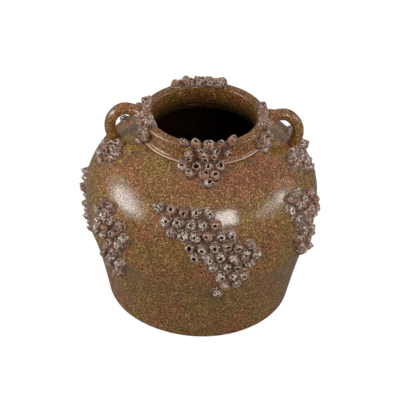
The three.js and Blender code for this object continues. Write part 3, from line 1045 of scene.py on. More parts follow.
@dataclass
class Body:
    """The thrown body: foot, belly, shoulder and the hollow inside them.

    Attributes:
        sizes: The jar's sizes.
        facets: How many facets go round it.
        step: How far apart its rings lie.
        rings: The height of the throwing rings inside.
        ring_pitch: How far apart those rings lie.
        recess: How far the middle of its underside lies above the table.
        recess_edge: How far in from the foot's edge that recess starts.
        recess_slope: How wide the slope up into it is.
        ledge: How far outside the collar's bore the hollow starts.
        ledge_foot: The same where it runs out under the shoulder.
        ledge_drop: How far down the ledge is upright, as a share of the wall.
        fillet_run: How wide the round to the floor is, as a share of its height.
        fillet_bend: How far in its curve's corner lies, as a share of that width.
        bevel_bend: How far in the corner of the foot's curve lies, as a share of its bevel.
        painted_shade: How dark the painted shade in the hollow is.
        painted_shade_depth: How far under the outside that painted shade starts, as a share of the wall.
        painted_shade_start: How far up it starts, as a share of the floor.
        patches: Where the kiln has made its glaze redder or more olive.
    """

    sizes: JarSizes
    facets: int = 224
    step: float = 1.8
    rings: float = 0.45
    ring_pitch: float = 8.0
    recess: float = 0.6
    recess_edge: float = 11.0
    recess_slope: float = 3.0
    ledge: float = 1.2
    ledge_foot: float = 2.6
    ledge_drop: float = 0.8
    fillet_run: float = 1.3
    fillet_bend: float = 0.3
    bevel_bend: float = 0.2
    painted_shade: float = 0.92
    painted_shade_depth: float = 0.6
    painted_shade_start: float = 0.5
    patches: tuple[Patch, ...] = BODY_PATCHES

    def inside(self) -> np.ndarray:
        """Gives the hollow's wall from under the shoulder down to the middle of its floor.

        Returns:
            Radius and height, one a row.
        """
        sizes = self.sizes
        outside = sizes.outside()
        way = directions(outside)
        shift = sizes.wall + self.rings * np.sin(2 * math.pi * lengths_along(outside) / self.ring_pitch)
        wall = outside + np.stack([-way[:, 1], way[:, 0]], axis=1) * shift[:, None]
        wall = wall[wall[:, 0] > sizes.mouth_radius + sizes.wall]
        wall = wall[wall[:, 1] > sizes.floor + sizes.floor_fillet][::-1]
        radius, height = wall[-1]
        run = self.fillet_run * sizes.floor_fillet
        corner = (radius - self.fillet_bend * run, sizes.floor)
        fillet = bezier([(radius, height), corner, (radius - run, sizes.floor)], ROUND_POINTS)
        return np.concatenate([wall, fillet[1:], np.array([[0.0, sizes.floor]])])

    def profile(self) -> np.ndarray:
        """Gives the whole profile, from the middle of the foot round to the middle of the floor.

        Returns:
            Radius and height, one a row.
        """
        sizes = self.sizes
        radius, bevel = sizes.foot_radius, sizes.foot_bevel
        edge = radius - self.recess_edge
        base = np.array([[0.0, self.recess], [edge - self.recess_slope, self.recess], [edge, 0.0]])
        corner = (radius - self.bevel_bend * bevel, 0)
        foot = bezier([(radius - bevel, 0), corner, (radius, bevel)], FOOT_POINTS)
        wall = respaced(sizes.outside(), self.step)
        seam, start = sizes.seam_height, sizes.mouth_radius + self.ledge
        end = (sizes.mouth_radius + self.ledge_foot, seam - sizes.wall)
        ledge = np.array([(start, seam), (start, seam - self.ledge_drop * sizes.wall), end])
        return np.concatenate([base, foot, wall[1:], ledge, respaced(self.inside(), self.step)])

    def ruddiness(self, points: np.ndarray) -> np.ndarray:
        """Gives how red, or olive if negative, the kiln has made the glaze.

        Args:
            points: The points, one a row.

        Returns:
            The redness at each point.
        """
        outside = self.sizes.outside()
        ruddy = np.zeros(len(points))
        for patch in self.patches:
            radius = np.interp(patch.height, outside[:, 1], outside[:, 0])
            middle = radius * outward(patch.azimuth) + np.array([0.0, 0.0, patch.height])
            apart = np.linalg.norm(points - middle, axis=1)
            ruddy += patch.ruddy * ridge(apart, PATCH_REACH * patch.reach)
        return ruddy

    def build(self, glaze: bpy.types.Material) -> bpy.types.Object:
        """Makes the body.

        Args:
            glaze: Its finish.

        Returns:
            The body's piece.
        """
        sizes, outside = self.sizes, self.sizes.outside()
        clay = turned(self.profile(), self.facets, Ripple(seed=3, height=0.5, reach=60))
        # Painted shade: the hollow inside the wall, above part of the floor, is marked to be glazed near
        # black
        depth = np.interp(clay.height, outside[:, 1], outside[:, 0]) - clay.across
        inner = depth > self.painted_shade_depth * sizes.wall
        above = clay.height > self.painted_shade_start * sizes.floor
        clay.marks[Mark.HOLLOW_SHADE] = np.where(inner & above, self.painted_shade, 0.0)
        clay.marks[Mark.RUDDY] = self.ruddiness(clay.points)
        return dressed(clay.piece("jar_body"), glaze, "body")


@dataclass
class Collar:
    """The low collar, its foot bead and its rolled lip.

    Attributes:
        sizes: The jar's sizes.
        facets: How many facets go round it.
        outside_step: How far apart its rings lie outside.
        inside_step: How far apart they lie inside.
        ruddy: How red its glaze has fired.
        bead_line: How far above the seam the painted highlight on its bead lies.
        bead_reach: How far up and down that reaches.
        crest_line: How far outside the lip's crest its painted highlight lies.
        crest_reach: How far in and out that reaches.
        crest_depth: How far down that reaches.
        crest_highlight: How bright the painted highlight is there, beside the bead's.
        bore_reach: Over how much of the wall its inside is painted dark.
        painted_shade: How dark the painted shade in the bore is at the lip, and how much darker at its foot.
        painted_shade_start: How far below the lip's crest the painted shade starts to darken.
        hem: How far above the seam the bore's painted shade is fully dark.
        hem_reach: How softly that starts.
    """

    sizes: JarSizes
    facets: int = 224
    outside_step: float = 0.7
    inside_step: float = 1.2
    ruddy: float = 0.5
    bead_line: float = 1.7
    bead_reach: float = 0.45
    crest_line: float = 0.5
    crest_reach: float = 0.6
    crest_depth: float = 1.5
    crest_highlight: float = 0.5
    bore_reach: float = 2.0
    painted_shade: tuple[float, float] = (0.2, 0.66)
    painted_shade_start: float = 2.0
    hem: float = 2.2
    hem_reach: float = 1.2

    def painted_highlight(self, clay: Clay) -> np.ndarray:
        """Gives the painted highlight along the bead and the lip's crest.

        Args:
            clay: The collar's mesh in the making.

        Returns:
            The painted highlight at each point, from 0 to 1.
        """
        sizes = self.sizes
        bead = ridge(clay.height - sizes.seam_height - self.bead_line, self.bead_reach)
        crest = sizes.mouth_radius + sizes.lip_crest + self.crest_line
        high = clay.height > sizes.lip_height - self.crest_depth
        lip = ridge(clay.across - crest, self.crest_reach) * high
        return np.clip(bead * (clay.across > sizes.neck_radius) + self.crest_highlight * lip, 0, 1)

    def painted_bore_shade(self, clay: Clay) -> np.ndarray:
        """Gives the shade painted into the bore, darker further down.

        Args:
            clay: The collar's mesh in the making.

        Returns:
            The painted darkness at each point, from 0 to 1.
        """
        sizes = self.sizes
        middle = 0.5 * (sizes.neck_radius + sizes.mouth_radius)
        bore = np.clip((middle - clay.across) / self.bore_reach, 0, 1)
        fall = sizes.lip_height - self.painted_shade_start - clay.height
        depth = smoothstep(fall / (sizes.lip_height - sizes.seam_height))
        hem = smoothstep((sizes.seam_height + self.hem - clay.height) / self.hem_reach)
        return bore * np.maximum(self.painted_shade[0] + self.painted_shade[1] * depth, hem)

    def build(self, glaze: bpy.types.Material) -> bpy.types.Object:
        """Makes the collar.

        Args:
            glaze: Its finish.

        Returns:
            The collar's piece.
        """
        outside = respaced(self.sizes.collar_outside(), self.outside_step)
        inside = respaced(self.sizes.collar_inside(), self.inside_step)
        profile = np.concatenate([outside, inside[1:], outside[:1]])
        clay = turned(profile, self.facets, Ripple(seed=8, height=0.5, reach=40))
        # Painted shade down the bore, fully dark just above the seam
        clay.marks[Mark.HOLLOW_SHADE] = self.painted_bore_shade(clay)
        clay.marks[Mark.RUDDY] = np.full(len(clay.points), self.ruddy)
        # Painted highlight along the bead and the lip's crest
        clay.marks[Mark.HIGHLIGHT] = self.painted_highlight(clay)
        return dressed(clay.piece("jar_collar"), glaze, "collar")


@dataclass
class Handle:
    """A pulled loop from the neck up past the lip and down to the shoulder.

    Attributes:
        sizes: The jar's sizes.
        side: Its side, right or left.
        azimuth: Its place round the jar, in degrees to the right of the front.
        thickness: Of its section, radially.
        width: Of its section, sideways.
        reach: From the neck to its middle line.
        rise: Of its top above the lip.
        root: Of its upper root below the lip.
        foot_radius: Where its middle line meets the shoulder.
        foot_height: The shoulder's height there.
        tuck: How far it draws back in at its foot.
        route: Places of its middle line, as shares of its reach and of its drop.
        flare: The share by which it swells where it is pressed on.
        flare_bend: How late along it that swelling starts, as a power.
        nose: How far from each end it starts to round off.
        tip: The least share of its section that is left at an end, squared.
        line_step: How far apart its middle line's points lie.
        rings: How many rings its mesh has along its line.
        sides: How many sides each ring has.
        ruddy: How red its glaze has fired.
    """

    sizes: JarSizes
    side: str
    azimuth: float
    thickness: float = 12.5
    width: float = 14.5
    reach: float = 37.25
    rise: float = 7.5
    root: float = 8.0
    foot_radius: float = 98.25
    foot_height: float = 191.9
    tuck: float = 5.0
    route: tuple[tuple[float, float], ...] = ((0.3, 0.03), (0.65, 0.0), (0.93, 0.25), (1.0, 0.55))
    flare: float = 0.3
    flare_bend: int = 5
    nose: float = 7.0
    tip: float = 0.02
    line_step: float = 0.25
    rings: int = 96
    sides: int = 40
    ruddy: float = 0.6

    def middle(self) -> np.ndarray:
        """Gives the middle line in the handle's own plane.

        Returns:
            Radius and height, evenly spaced, one a row.
        """
        half = self.thickness / 2
        crest = self.sizes.lip_height + self.rise - half
        drop = crest - self.foot_height
        neck = self.sizes.neck_radius
        stations = [(neck - half, self.sizes.lip_height - self.root - half / 2)]
        stations += [(neck + out * self.reach, crest - down * drop) for out, down in self.route]
        stations.append((self.foot_radius, self.foot_height))
        stations.append((self.foot_radius - self.tuck / 2, self.foot_height - half))
        return respaced(self.through(np.array(stations)), self.line_step)

    @staticmethod
    def through(stations: np.ndarray) -> np.ndarray:
        """Runs a smooth line through stations.

        Args:
            stations: The stations, one a row.

        Returns:
            Points along the line.
        """
        ends = [2 * stations[:1] - stations[1:2], stations, 2 * stations[-1:] - stations[-2:-1]]
        held = np.concatenate(ends)
        line = []
        for before, start, end, after in zip(held, held[1:], held[2:], held[3:]):
            steps = [start - before, end - start, after - end]
            first, own, last = (math.sqrt(np.linalg.norm(step)) for step in steps)
            leave = steps[0] / first - (end - before) / (first + own) + steps[1] / own
            reach = steps[1] / own - (after - start) / (own + last) + steps[2] / last
            leave, reach = leave * own, reach * own
            share = np.linspace(0, 1, STRETCH_POINTS, endpoint=False)[:, None]
            square, cube = -3 * start + 3 * end - 2 * leave - reach, 2 * start - 2 * end + leave + reach
            line.append(start + leave * share + square * share**2 + cube * share**3)
        return np.concatenate([*line, stations[-1:]])

    def section(self, place: float, length: float) -> tuple[float, float]:
        """Gives the half thickness and the half width of the section at a place on the line.

        Args:
            place: The length from the line's start.
            length: The whole line's length.

        Returns:
            Half the thickness and half the width.
        """
        swell = 1 + self.flare * abs(2 * place / length - 1) ** self.flare_bend
        end = max(0.0, 1 - min(place, length - place) / self.nose)
        size = swell * math.sqrt(max(self.tip, 1 - end**2)) / 2
        return size * self.thickness, size * self.width

    def build(self, glaze: bpy.types.Material) -> bpy.types.Object:
        """Makes the handle.

        Args:
            glaze: Its finish.

        Returns:
            The handle's piece.
        """
        line = self.middle()
        lengths, way = lengths_along(line), directions(line)
        angles = 2 * math.pi * np.arange(self.sides) / self.sides
        radial = outward(self.azimuth)
        sideways = outward(self.azimuth + 90)
        upward = np.array([0.0, 0.0, 1.0])
        rings = []
        for place in np.linspace(0, lengths[-1], self.rings):
            radius, height = (np.interp(place, lengths, column) for column in line.T)
            out, up = (np.interp(place, lengths, column) for column in way.T)
            thick, wide = self.section(place, lengths[-1])
            outer = thick * np.cos(angles)[:, None]
            level = (radius + outer * up) * radial + wide * np.sin(angles)[:, None] * sideways
            rings.append(level + (height - outer * out) * upward)
        points = np.concatenate(rings)
        faces: list[tuple[int, ...]] = []
        for low in range(0, (self.rings - 1) * self.sides, self.sides):
            high = low + self.sides
            for side in range(self.sides):
                after = (side + 1) % self.sides
                faces.append((low + side, low + after, high + after, high + side))
        faces.append(tuple(range(self.sides))[::-1])
        faces.append(tuple(range((self.rings - 1) * self.sides, self.rings * self.sides)))
        clay = Clay(points, faces, {Mark.RUDDY: np.full(len(points), self.ruddy)})
        return dressed(clay.piece(f"jar_handle_{self.side}"), glaze, f"handle_{self.side}")


class Seat(Enum):
    """Where a bunch of cups is pressed on."""

    BELLY = "belly"
    RIM = "rim"
    HANDLE_FOOT = "handle_foot"


@dataclass(frozen=True)
class Bedding:
    """How a bunch's clay lies where it is pressed on.

    Attributes:
        bed: How deep the clay goes in under the skin.
        web: The height of the clay between cups.
        paleness: The share of its cups' paleness that the kiln has left.
    """

    bed: float
    web: float
    paleness: float


BEDDINGS = {
    Seat.BELLY: Bedding(bed=0.8, web=0.4, paleness=0.9),
    Seat.RIM: Bedding(bed=3.2, web=2.0, paleness=0.3),
    Seat.HANDLE_FOOT: Bedding(bed=0.8, web=0.4, paleness=0.9),
}


@dataclass(frozen=True)
class CupStrays:
    """How far cups stray from one another.

    Attributes:
        horn: Of the share by which a cup is drawn out.
        hole: Of its hole from its middle.
        girth: Its least and its greatest share of the shared width.
        slot: The most by which its hole is drawn out to a slot, as a share.
        lean: Of its lean to the right and down the skin, as shares of its height.
        slip: Of its middle from its place.
    """

    horn: float = 0.22
    hole: float = 0.6
    girth: tuple[float, float] = (0.88, 1.08)
    slot: float = 0.45
    lean: tuple[float, float] = (0.13, 0.1)
    slip: float = 0.45


@dataclass(frozen=True)
class Creases:
    """The clay between cups, how far it goes and how dark its pooled rust and painted shade are. A lone
    cup's middle has a nearness of 1.

    Attributes:
        web_edge: The nearness to cups at which the web between them ends.
        web_rise: Over how much nearness inside it the web comes up.
        web_dip: Over how much nearness outside it the web sinks to its bed.
        meeting_step: How fast a crease fades as one cup stands higher than the next.
        meeting_top: How far up a cup creases show, as a share of its height.
        low_start: The nearness to cups from which the low clay between them is painted dark.
        low_reach: Over how much nearness it does.
        low_weight: How dark that rust and painted shade is then.
        groove_weight: How dark the painted shade in the groove round a ball is.
    """

    web_edge: float = 0.5
    web_rise: float = 0.12
    web_dip: float = 0.05
    meeting_step: float = 0.8
    meeting_top: float = 0.7
    low_start: float = 0.25
    low_reach: float = 0.2
    low_weight: float = 0.6
    groove_weight: float = 0.5


@dataclass(frozen=True)
class CupSizes:
    """The sizes that all cups share. Pitches, slip, heights, pit and spreads are their solids' own.

    Attributes:
        pitch: From cup to cup in a row.
        row_pitch: From row to row.
        slip: How far a cup's place strays.
        height: A belly cup's height.
        rim_height: The height of a cup elsewhere.
        front_growth: The share of its height to which a cup on the lip's front grows.
        pit: How deep a cup's hole goes.
        tilt: How far a cup on an upright wall leans back up, in radians.
        height_spread: The share by which a cup's height strays.
        mouth_spread: The share by which its mouth strays.
        mouth: Its mouth's radius.
        rim_mouth: Its mouth's radius on the rim.
        ball: Its ball's radius.
        flange: Its flange's radius.
        flange_rise: Its flange's height.
        flange_round: How far outside its radius the flange starts to round off.
        thorn_rise: The height of a cup that is drawn out fully, as a share of its height.
        thorn_bend: How pointed it is, as a power.
        thorn_narrowing: The share by which its hole is narrower.
        ring_rise: How far the flange's edge stands up where it does.
        ring_side: Which way round the cup that is, in radians from its right.
        ring_inset: How far in from the flange's radius that is.
        ring_reach: How wide that edge is.
        skirt_fall: How steeply the clay falls outside the flange.
        groove_line: How far outside the ball the painted shade of the groove between it and its flange is
            deepest.
        groove_reach: How wide that groove is.
        brim_rise: How far its brim stands up.
        brim_line: How far outside the hole the brim is highest.
        brim_reach: How wide the brim is.
        hole_softness: How softly the clay falls into the hole, as a share of its radius.
        flare_reach: How far from its middle a cup's flare reaches, as a share of its ball's radius.
        open_share: The share of cups whose mouths are open wide.
        open_growth: The share of its radius to which such a mouth grows.
        near: How far a cup draws up the clay around it.
        margin: How far a bunch's mesh reaches past its outermost flanges.
        rim_row_drop: From the lip's crest to the rim's first row.
        shoulder_row_pitch: From row to row on the shoulder.
        shoulder_row_drop: From the seam to the rim bunches' first row on the shoulder.
        handle_row_drop: From a handle's foot to the first row below it.
        strays: How far cups stray from one another.
        creases: The clay between them.
    """

    pitch: float = 13.0
    row_pitch: float = 12.5
    slip: float = 1.2
    height: float = 8.0
    rim_height: float = 6.5
    front_growth: float = 1.15
    pit: float = 4.6
    tilt: float = math.radians(14)
    height_spread: float = 0.2
    mouth_spread: float = 0.15
    mouth: float = 1.3
    rim_mouth: float = 1.6
    ball: float = 5.9
    flange: float = 7.0
    flange_rise: float = 0.8
    flange_round: float = 0.7
    thorn_rise: float = 1.12
    thorn_bend: float = 0.75
    thorn_narrowing: float = 0.2
    ring_rise: float = 0.95
    ring_side: float = -2.4
    ring_inset: float = 0.3
    ring_reach: float = 0.5
    skirt_fall: float = 1.4
    groove_line: float = 0.3
    groove_reach: float = 0.55
    brim_rise: float = 0.7
    brim_line: float = 0.75
    brim_reach: float = 0.6
    hole_softness: float = 0.6
    flare_reach: float = 1.1
    open_share: float = 0.25
    open_growth: float = 1.45
    near: float = 6.0
    margin: float = 3.0
    rim_row_drop: float = 4.5
    shoulder_row_pitch: float = 9.5
    shoulder_row_drop: float = 1.5
    handle_row_drop: float = 1.0
    strays: CupStrays = CupStrays()
    creases: Creases = Creases()


@dataclass
class CupForm:
    """What one cup or several add up to over a grid.

    Attributes:
        rise: The height of its clay above the skin.
        well: How far inside its hole each place is, from 0 to 1.
        brim: How near a brim or a flange's crest each place is, from 0 to 1.
        groove: How near the groove between the ball and its flange each place is, from 0 to 1.
        bloom_east: How far the brim opens each place to the right.
        bloom_south: How far it opens each place down the skin.
    """

    rise: np.ndarray
    well: np.ndarray
    brim: np.ndarray
    groove: np.ndarray
    bloom_east: np.ndarray
    bloom_south: np.ndarray


@dataclass
class Cup:
    """One cup: a ball of clay pressed onto a flange and pricked, with strays of its own.

    Attributes:
        sizes: The sizes that all cups share.
        azimuth: Its middle's, in radians.
        along: Its middle's length along the skin.
        height: Its own height.
        mouth: Its own mouth's radius.
        horned: The share by which it is drawn out like a thorn.
        dice: What its other strays are drawn from.
        flare: The share by which its brim is wider than its waist.
        girth: Its own share of the shared width.
    """

    sizes: CupSizes
    azimuth: float
    along: float
    height: float
    mouth: float
    horned: float
    dice: np.random.Generator
    flare: float = 0.12
    girth: float = 1.0

    def __post_init__(self) -> None:
        """Draws the cup's own strays."""
        dice, strays = self.dice, self.sizes.strays
        self.turns = dice.uniform(0, 2 * math.pi, 8)
        self.horn = float(np.clip(self.horned + dice.normal(0, strays.horn), 0, 1))
        self.hole = dice.normal(0, strays.hole, 2)
        self.girth *= float(dice.uniform(*strays.girth))
        self.slot = float(dice.uniform(0.0, strays.slot))
        self.tone = float(dice.uniform())
        self.lean = dice.normal(0, strays.lean)
        self.slip = dice.normal(0, strays.slip, 2)
        if dice.uniform() < self.sizes.open_share:
            self.mouth *= self.sizes.open_growth

    def form(self, east: np.ndarray, south: np.ndarray) -> CupForm:
        """Shapes the cup over a grid.

        Args:
            east: Each place's distance to the right of the cup's middle.
            south: Each place's distance down the skin from it.

        Returns:
            The cup's form.
        """
        sizes, turns, horn = self.sizes, self.turns, self.horn
        east, south = east - self.slip[0], south - self.slip[1]
        apart, angle = np.hypot(east, south), np.arctan2(south, east)
        uneven = lobes(angle, (0.06, 2, turns[0]), (0.05, 3, turns[1]), (0.03, 5, turns[6]))
        ball = sizes.ball * self.girth * (1 + uneven)
        share = apart / ball
        held = np.clip(share, 0, 1)
        dome = (1 - held**3) ** 0.5
        thorn = sizes.thorn_rise * (1 - held) ** sizes.thorn_bend
        rise = np.where(share < 1, self.height * ((1 - horn) * dome + horn * thorn), BURIED)
        flange = sizes.flange * self.girth * (1 + lobes(angle, (0.05, 2, turns[2]), (0.04, 5, turns[3])))
        raised = np.clip(0.4 + 0.9 * np.cos(angle - sizes.ring_side - turns[7] / 4), 0, 1)
        ring = ridge(apart - flange + sizes.ring_inset, sizes.ring_reach) * raised
        groove = ridge(apart - ball - sizes.groove_line, sizes.groove_reach)
        foot = sizes.flange_rise * smoothstep(flange + sizes.flange_round - apart) + sizes.ring_rise * ring
        rise = np.maximum(rise, foot - sizes.skirt_fall * np.maximum(apart - flange, 0))
        hole_east, hole_south = east - self.hole[0], south - self.hole[1]
        slot = self.slot * np.cos(2 * np.arctan2(hole_south, hole_east) + turns[4])
        narrowed = self.mouth * (1 - sizes.thorn_narrowing * horn)
        beyond = np.hypot(hole_east, hole_south) - narrowed * (1 + slot)
        brim = ridge(beyond - sizes.brim_line, sizes.brim_reach)
        ragged = 1 + lobes(angle, (0.6, 1, turns[5]), (0.4, 3, turns[1]), (0.25, 7, turns[7]))
        rise = rise + sizes.brim_rise * brim * ragged
        well = smoothstep(0.5 - beyond / (sizes.hole_softness * self.mouth))
        opening = self.flare * smoothstep(rise / self.height) * (share < sizes.flare_reach)
        # The flange's ring, raised on its upper side, joins the brim mark and so carries a painted highlight
        return CupForm(rise, well, np.clip(brim + ring, 0, 1), groove, east * opening, south * opening)


@dataclass(frozen=True)
class Extra:
    """A cup pressed on outside a bunch's rows.

    Attributes:
        azimuth: Its middle's, in degrees to the right of the front.
        along: Its length along the skin from the bunch's first row.
        height: Its height.
        girth: Its share of the shared width.
        mouth: Its mouth's radius.
        flare: The share by which its brim is wider than its waist.
        horned: The share by which it is drawn out like a thorn.
    """

    azimuth: float
    along: float
    height: float = 6.0
    girth: float = 0.8
    mouth: float = 1.2
    flare: float = 0.12
    horned: float = 0.3


@dataclass
class Grid:
    """The places of a bunch's mesh points, in rows that follow one another down its skin.

    Attributes:
        across: Each column's distance to the right of the bunch's axis.
        along: Each row's length along the skin.
        radius: Each row's radius, as a column.
        height: Each row's height, as a column.
        azimuth: Each place's azimuth, in radians.
    """

    across: np.ndarray
    along: np.ndarray
    radius: np.ndarray
    height: np.ndarray
    azimuth: np.ndarray


@dataclass
class Heap:
    """What a bunch's cups add up to over its grid.

    Attributes:
        form: The form of the cup that stands highest at each place, blended into its neighbours'.
        second: The height there of the cup that stands second.
        nearness: How near each place is to cups, 1 at the middle of a lone one.
        weights: Each cup's say at each place.
    """

    form: CupForm
    second: np.ndarray
    nearness: np.ndarray
    weights: np.ndarray

    def weighed(self, values: list[float] | np.ndarray) -> np.ndarray:
        """Blends values, one a cup, by each cup's say."""
        return np.tensordot(np.array(values), self.weights, axes=(0, 0))


@dataclass
class Bunch:
    """A bunch of pricked cups in staggered rows, as one skin of clay.

    Attributes:
        name: The bunch's name, which its solid has too.
        seat: Where it is pressed on.
        skin: The skin under it.
        azimuth: Its axis, in degrees to the right of the front.
        rows: The place of each row's first cup, in half pitches right of the axis, and how many cups.
        seed: The seed of its solid's strays.
        starts: The length along the skin of its first rows, and the pitch of the rest after the last.
        horned: The share by which its cups are drawn out like thorns.
        step: How far apart its mesh points lie.
        sizes: The sizes that all cups share.
        extras: Cups pressed on outside the rows.
    """

    name: str
    seat: Seat
    skin: Skin
    azimuth: float
    rows: list[tuple[int, int]]
    seed: int
    starts: list[float]
    horned: float = 0.3
    step: float = 0.5
    sizes: CupSizes = CupSizes()
    extras: tuple[Extra, ...] = ()

    @property
    def bedding(self) -> Bedding:
        """Gives how the bunch's clay lies."""
        return BEDDINGS[self.seat]

    def stray(self, row: int, place: int, use: int) -> float:
        """Gives a value from -0.5 to 0.5 of a cup's own for each use, the same as its solid's."""
        value = math.sin((self.seed + 31 * row + 0.37 * place + 0.11 * use) * 12.9898) * 43758.5453
        return value - math.floor(value) - 0.5

    def row_length(self, row: int) -> float:
        """Gives how far along the skin a row lies.

        Args:
            row: The row's number, from 0.

        Returns:
            Its length along the skin.
        """
        if row < len(self.starts) - 1:
            return self.starts[row]
        return self.starts[-2] + (row - len(self.starts) + 2) * self.starts[-1]

    def cups(self) -> list[Cup]:
        """Lists the bunch's cups.

        Returns:
            The cups of its rows, and then the extra ones.
        """
        sizes, found = self.sizes, []
        dice = np.random.default_rng(100 + self.seed)
        for row, (first, count) in enumerate(self.rows):
            full = sizes.height if self.seat is Seat.BELLY else sizes.rim_height
            full *= sizes.front_growth if self.name == "rim_front" and row == 0 else 1.0
            along = self.row_length(row)
            radius = float(self.skin.at(np.array(along))[0])
            for place in range(first, first + 2 * count, 2):
                aside = 0.5 * place * sizes.pitch + sizes.slip * self.stray(row, place, 1)
                azimuth = math.radians(self.azimuth) + aside / radius
                slipped = along + sizes.slip * self.stray(row, place, 2)
                height = full * (1 + 2 * sizes.height_spread * self.stray(row, place, 3))
                mouth = sizes.rim_mouth if self.seat is Seat.RIM else sizes.mouth
                mouth *= 1 + 2 * sizes.mouth_spread * self.stray(row, place, 4)
                found.append(Cup(sizes, azimuth, slipped, height, mouth, self.horned, dice))
        for extra in self.extras:
            place = (math.radians(extra.azimuth), self.starts[0] + extra.along)
            shape = (extra.height, extra.mouth, extra.horned)
            found.append(Cup(sizes, *place, *shape, dice, extra.flare, extra.girth))
        return found

    def grid(self, cups: list[Cup]) -> Grid:
        """Lays out the mesh points of the bunch on its skin.

        Args:
            cups: The bunch's cups.

        Returns:
            The grid that they stand on.
        """
        axis = math.radians(self.azimuth)
        lengths = np.array([cup.along for cup in cups])
        asides = (np.array([cup.azimuth for cup in cups]) - axis) * self.skin.at(lengths)[:, 0]
        edge = self.sizes.flange + self.sizes.margin
        across = np.arange(asides.min() - edge, asides.max() + edge, self.step)
        along = np.arange(lengths.min() - edge, lengths.max() + edge, self.step)
        at = self.skin.at(along)
        radius, height = at[:, :1], at[:, 1:]
        return Grid(across, along, radius, height, axis + across[None, :] / radius)

    def heap(self, cups: list[Cup], grid: Grid) -> Heap:
        """Adds the cups up.

        Args:
            cups: The bunch's cups.
            grid: The grid that they stand on.

        Returns:
            What they add up to.
        """
        shape = grid.azimuth.shape
        forms, nearness = [], np.zeros(shape)
        for cup in cups:
            radius = self.skin.at(np.array(cup.along))[0]
            east = (grid.azimuth - cup.azimuth) * 0.5 * (grid.radius + radius)
            south = np.broadcast_to(grid.along[:, None] - cup.along, shape)
            forms.append(cup.form(east, south))
            nearness += ridge(np.hypot(east, south), self.sizes.near)
        rises = np.array([form.rise for form in forms])
        second, top = np.sort(rises, axis=0)[-2:]
        weights = np.exp(BLEND_SHARPNESS * (rises - top))
        weights /= weights.sum(axis=0)
        blended = {
            part: np.einsum("i...,i...->...", np.array([getattr(form, part) for form in forms]), weights)
            for part in ("well", "brim", "groove", "bloom_east", "bloom_south")
        }
        return Heap(CupForm(rise=top, **blended), second, nearness, weights)

    def rough(self, grid: Grid) -> np.ndarray:
        """Gives the clay's roughness, which grog and fingers leave.

        Args:
            grid: The bunch's grid.

        Returns:
            How far it rises and falls at each place.
        """
        flat = np.broadcast_arrays(grid.across[None, :], grid.along[:, None], 0.0)
        places = np.stack(flat, axis=-1).reshape(-1, 3)
        coarse = Ripple(seed=50 + self.seed, height=0.55, reach=2.0, waves=40)
        grain = Ripple(seed=90 + self.seed, height=0.25, reach=1.1, waves=40)
        return (coarse.at(places) + grain.at(places)).reshape(grid.azimuth.shape)

    def placed(self, cups: list[Cup], grid: Grid, heap: Heap, cover: np.ndarray) -> np.ndarray:
        """Lifts the grid off the skin, each place the way its own cup stands.

        Args:
            cups: The bunch's cups.
            grid: The bunch's grid.
            heap: What its cups add up to.
            cover: The height of the clay before its holes and its roughness.

        Returns:
            The mesh points, row by row.
        """
        form = heap.form
        facing = self.skin.down(np.array([cup.along for cup in cups]))
        down = np.stack([heap.weighed(facing[:, 0]), heap.weighed(facing[:, 1])], axis=-1)
        down /= np.linalg.norm(down, axis=-1, keepdims=True)
        out_radius, out_height = -down[..., 1], down[..., 0]
        dented = cover - self.sizes.pit * form.well + self.rough(grid) * smoothstep(cover)
        lift = np.maximum(dented, -self.bedding.bed)
        standing = np.maximum(lift, 0)
        lean_east, lean_south = (heap.weighed([cup.lean[way] for cup in cups]) for way in (0, 1))
        back = (math.tan(self.sizes.tilt) * (1 - out_height) + lean_south) * standing
        slid = form.bloom_south - back
        aside = lean_east * standing + form.bloom_east
        radius = grid.radius + out_radius * lift + down[..., 0] * slid
        height = grid.height + out_height * lift + down[..., 1] * slid
        east, north = np.sin(grid.azimuth), np.cos(grid.azimuth)
        return np.stack([radius * east + aside * north, aside * east - radius * north, height], axis=-1)

    def marks(self, cups: list[Cup], heap: Heap, cover: np.ndarray) -> dict[Mark, np.ndarray]:
        """Marks the clay for its glaze.

        Args:
            cups: The bunch's cups.
            heap: What they add up to.
            cover: The height of the clay before its holes and its roughness.

        Returns:
            The values at each place.
        """
        form, height, creases = heap.form, self.sizes.height, self.sizes.creases
        # Rust and painted shade between cups: where they meet, in the low clay and round each ball
        meeting = np.exp(-np.maximum(form.rise - heap.second, 0) / creases.meeting_step)
        meeting *= 1 - smoothstep(form.rise / (creases.meeting_top * height))
        low = 1 - smoothstep(cover - self.bedding.web)
        low *= smoothstep((heap.nearness - creases.low_start) / creases.low_reach)
        rust_and_shade = np.maximum(meeting, creases.low_weight * low)
        rust_and_shade = np.maximum(rust_and_shade, creases.groove_weight * form.groove)
        return {
            Mark.RELIEF: np.clip(form.rise / height, 0, 1),
            Mark.PIT: form.well,
            Mark.CREVICE_RUST_AND_SHADE: np.clip(rust_and_shade, 0, 1),
            Mark.BRIM: form.brim,
            Mark.CUP: heap.weighed([cup.tone for cup in cups]) * self.bedding.paleness,
        }

    def clay(self) -> Clay:
        """Shapes the bunch's skin of clay, whose web between the cups ends where none is near.

        Returns:
            The skin of clay.
        """
        cups, bedding, creases = self.cups(), self.bedding, self.sizes.creases
        grid = self.grid(cups)
        heap = self.heap(cups, grid)
        within = heap.nearness - creases.web_edge
        web = bedding.web * smoothstep(within / creases.web_rise)
        web -= bedding.bed * smoothstep(-within / creases.web_dip)
        cover = np.maximum(heap.form.rise, web)
        points = self.placed(cups, grid, heap, cover)
        return self.trimmed(points, cover > -bedding.bed, self.marks(cups, heap, cover))

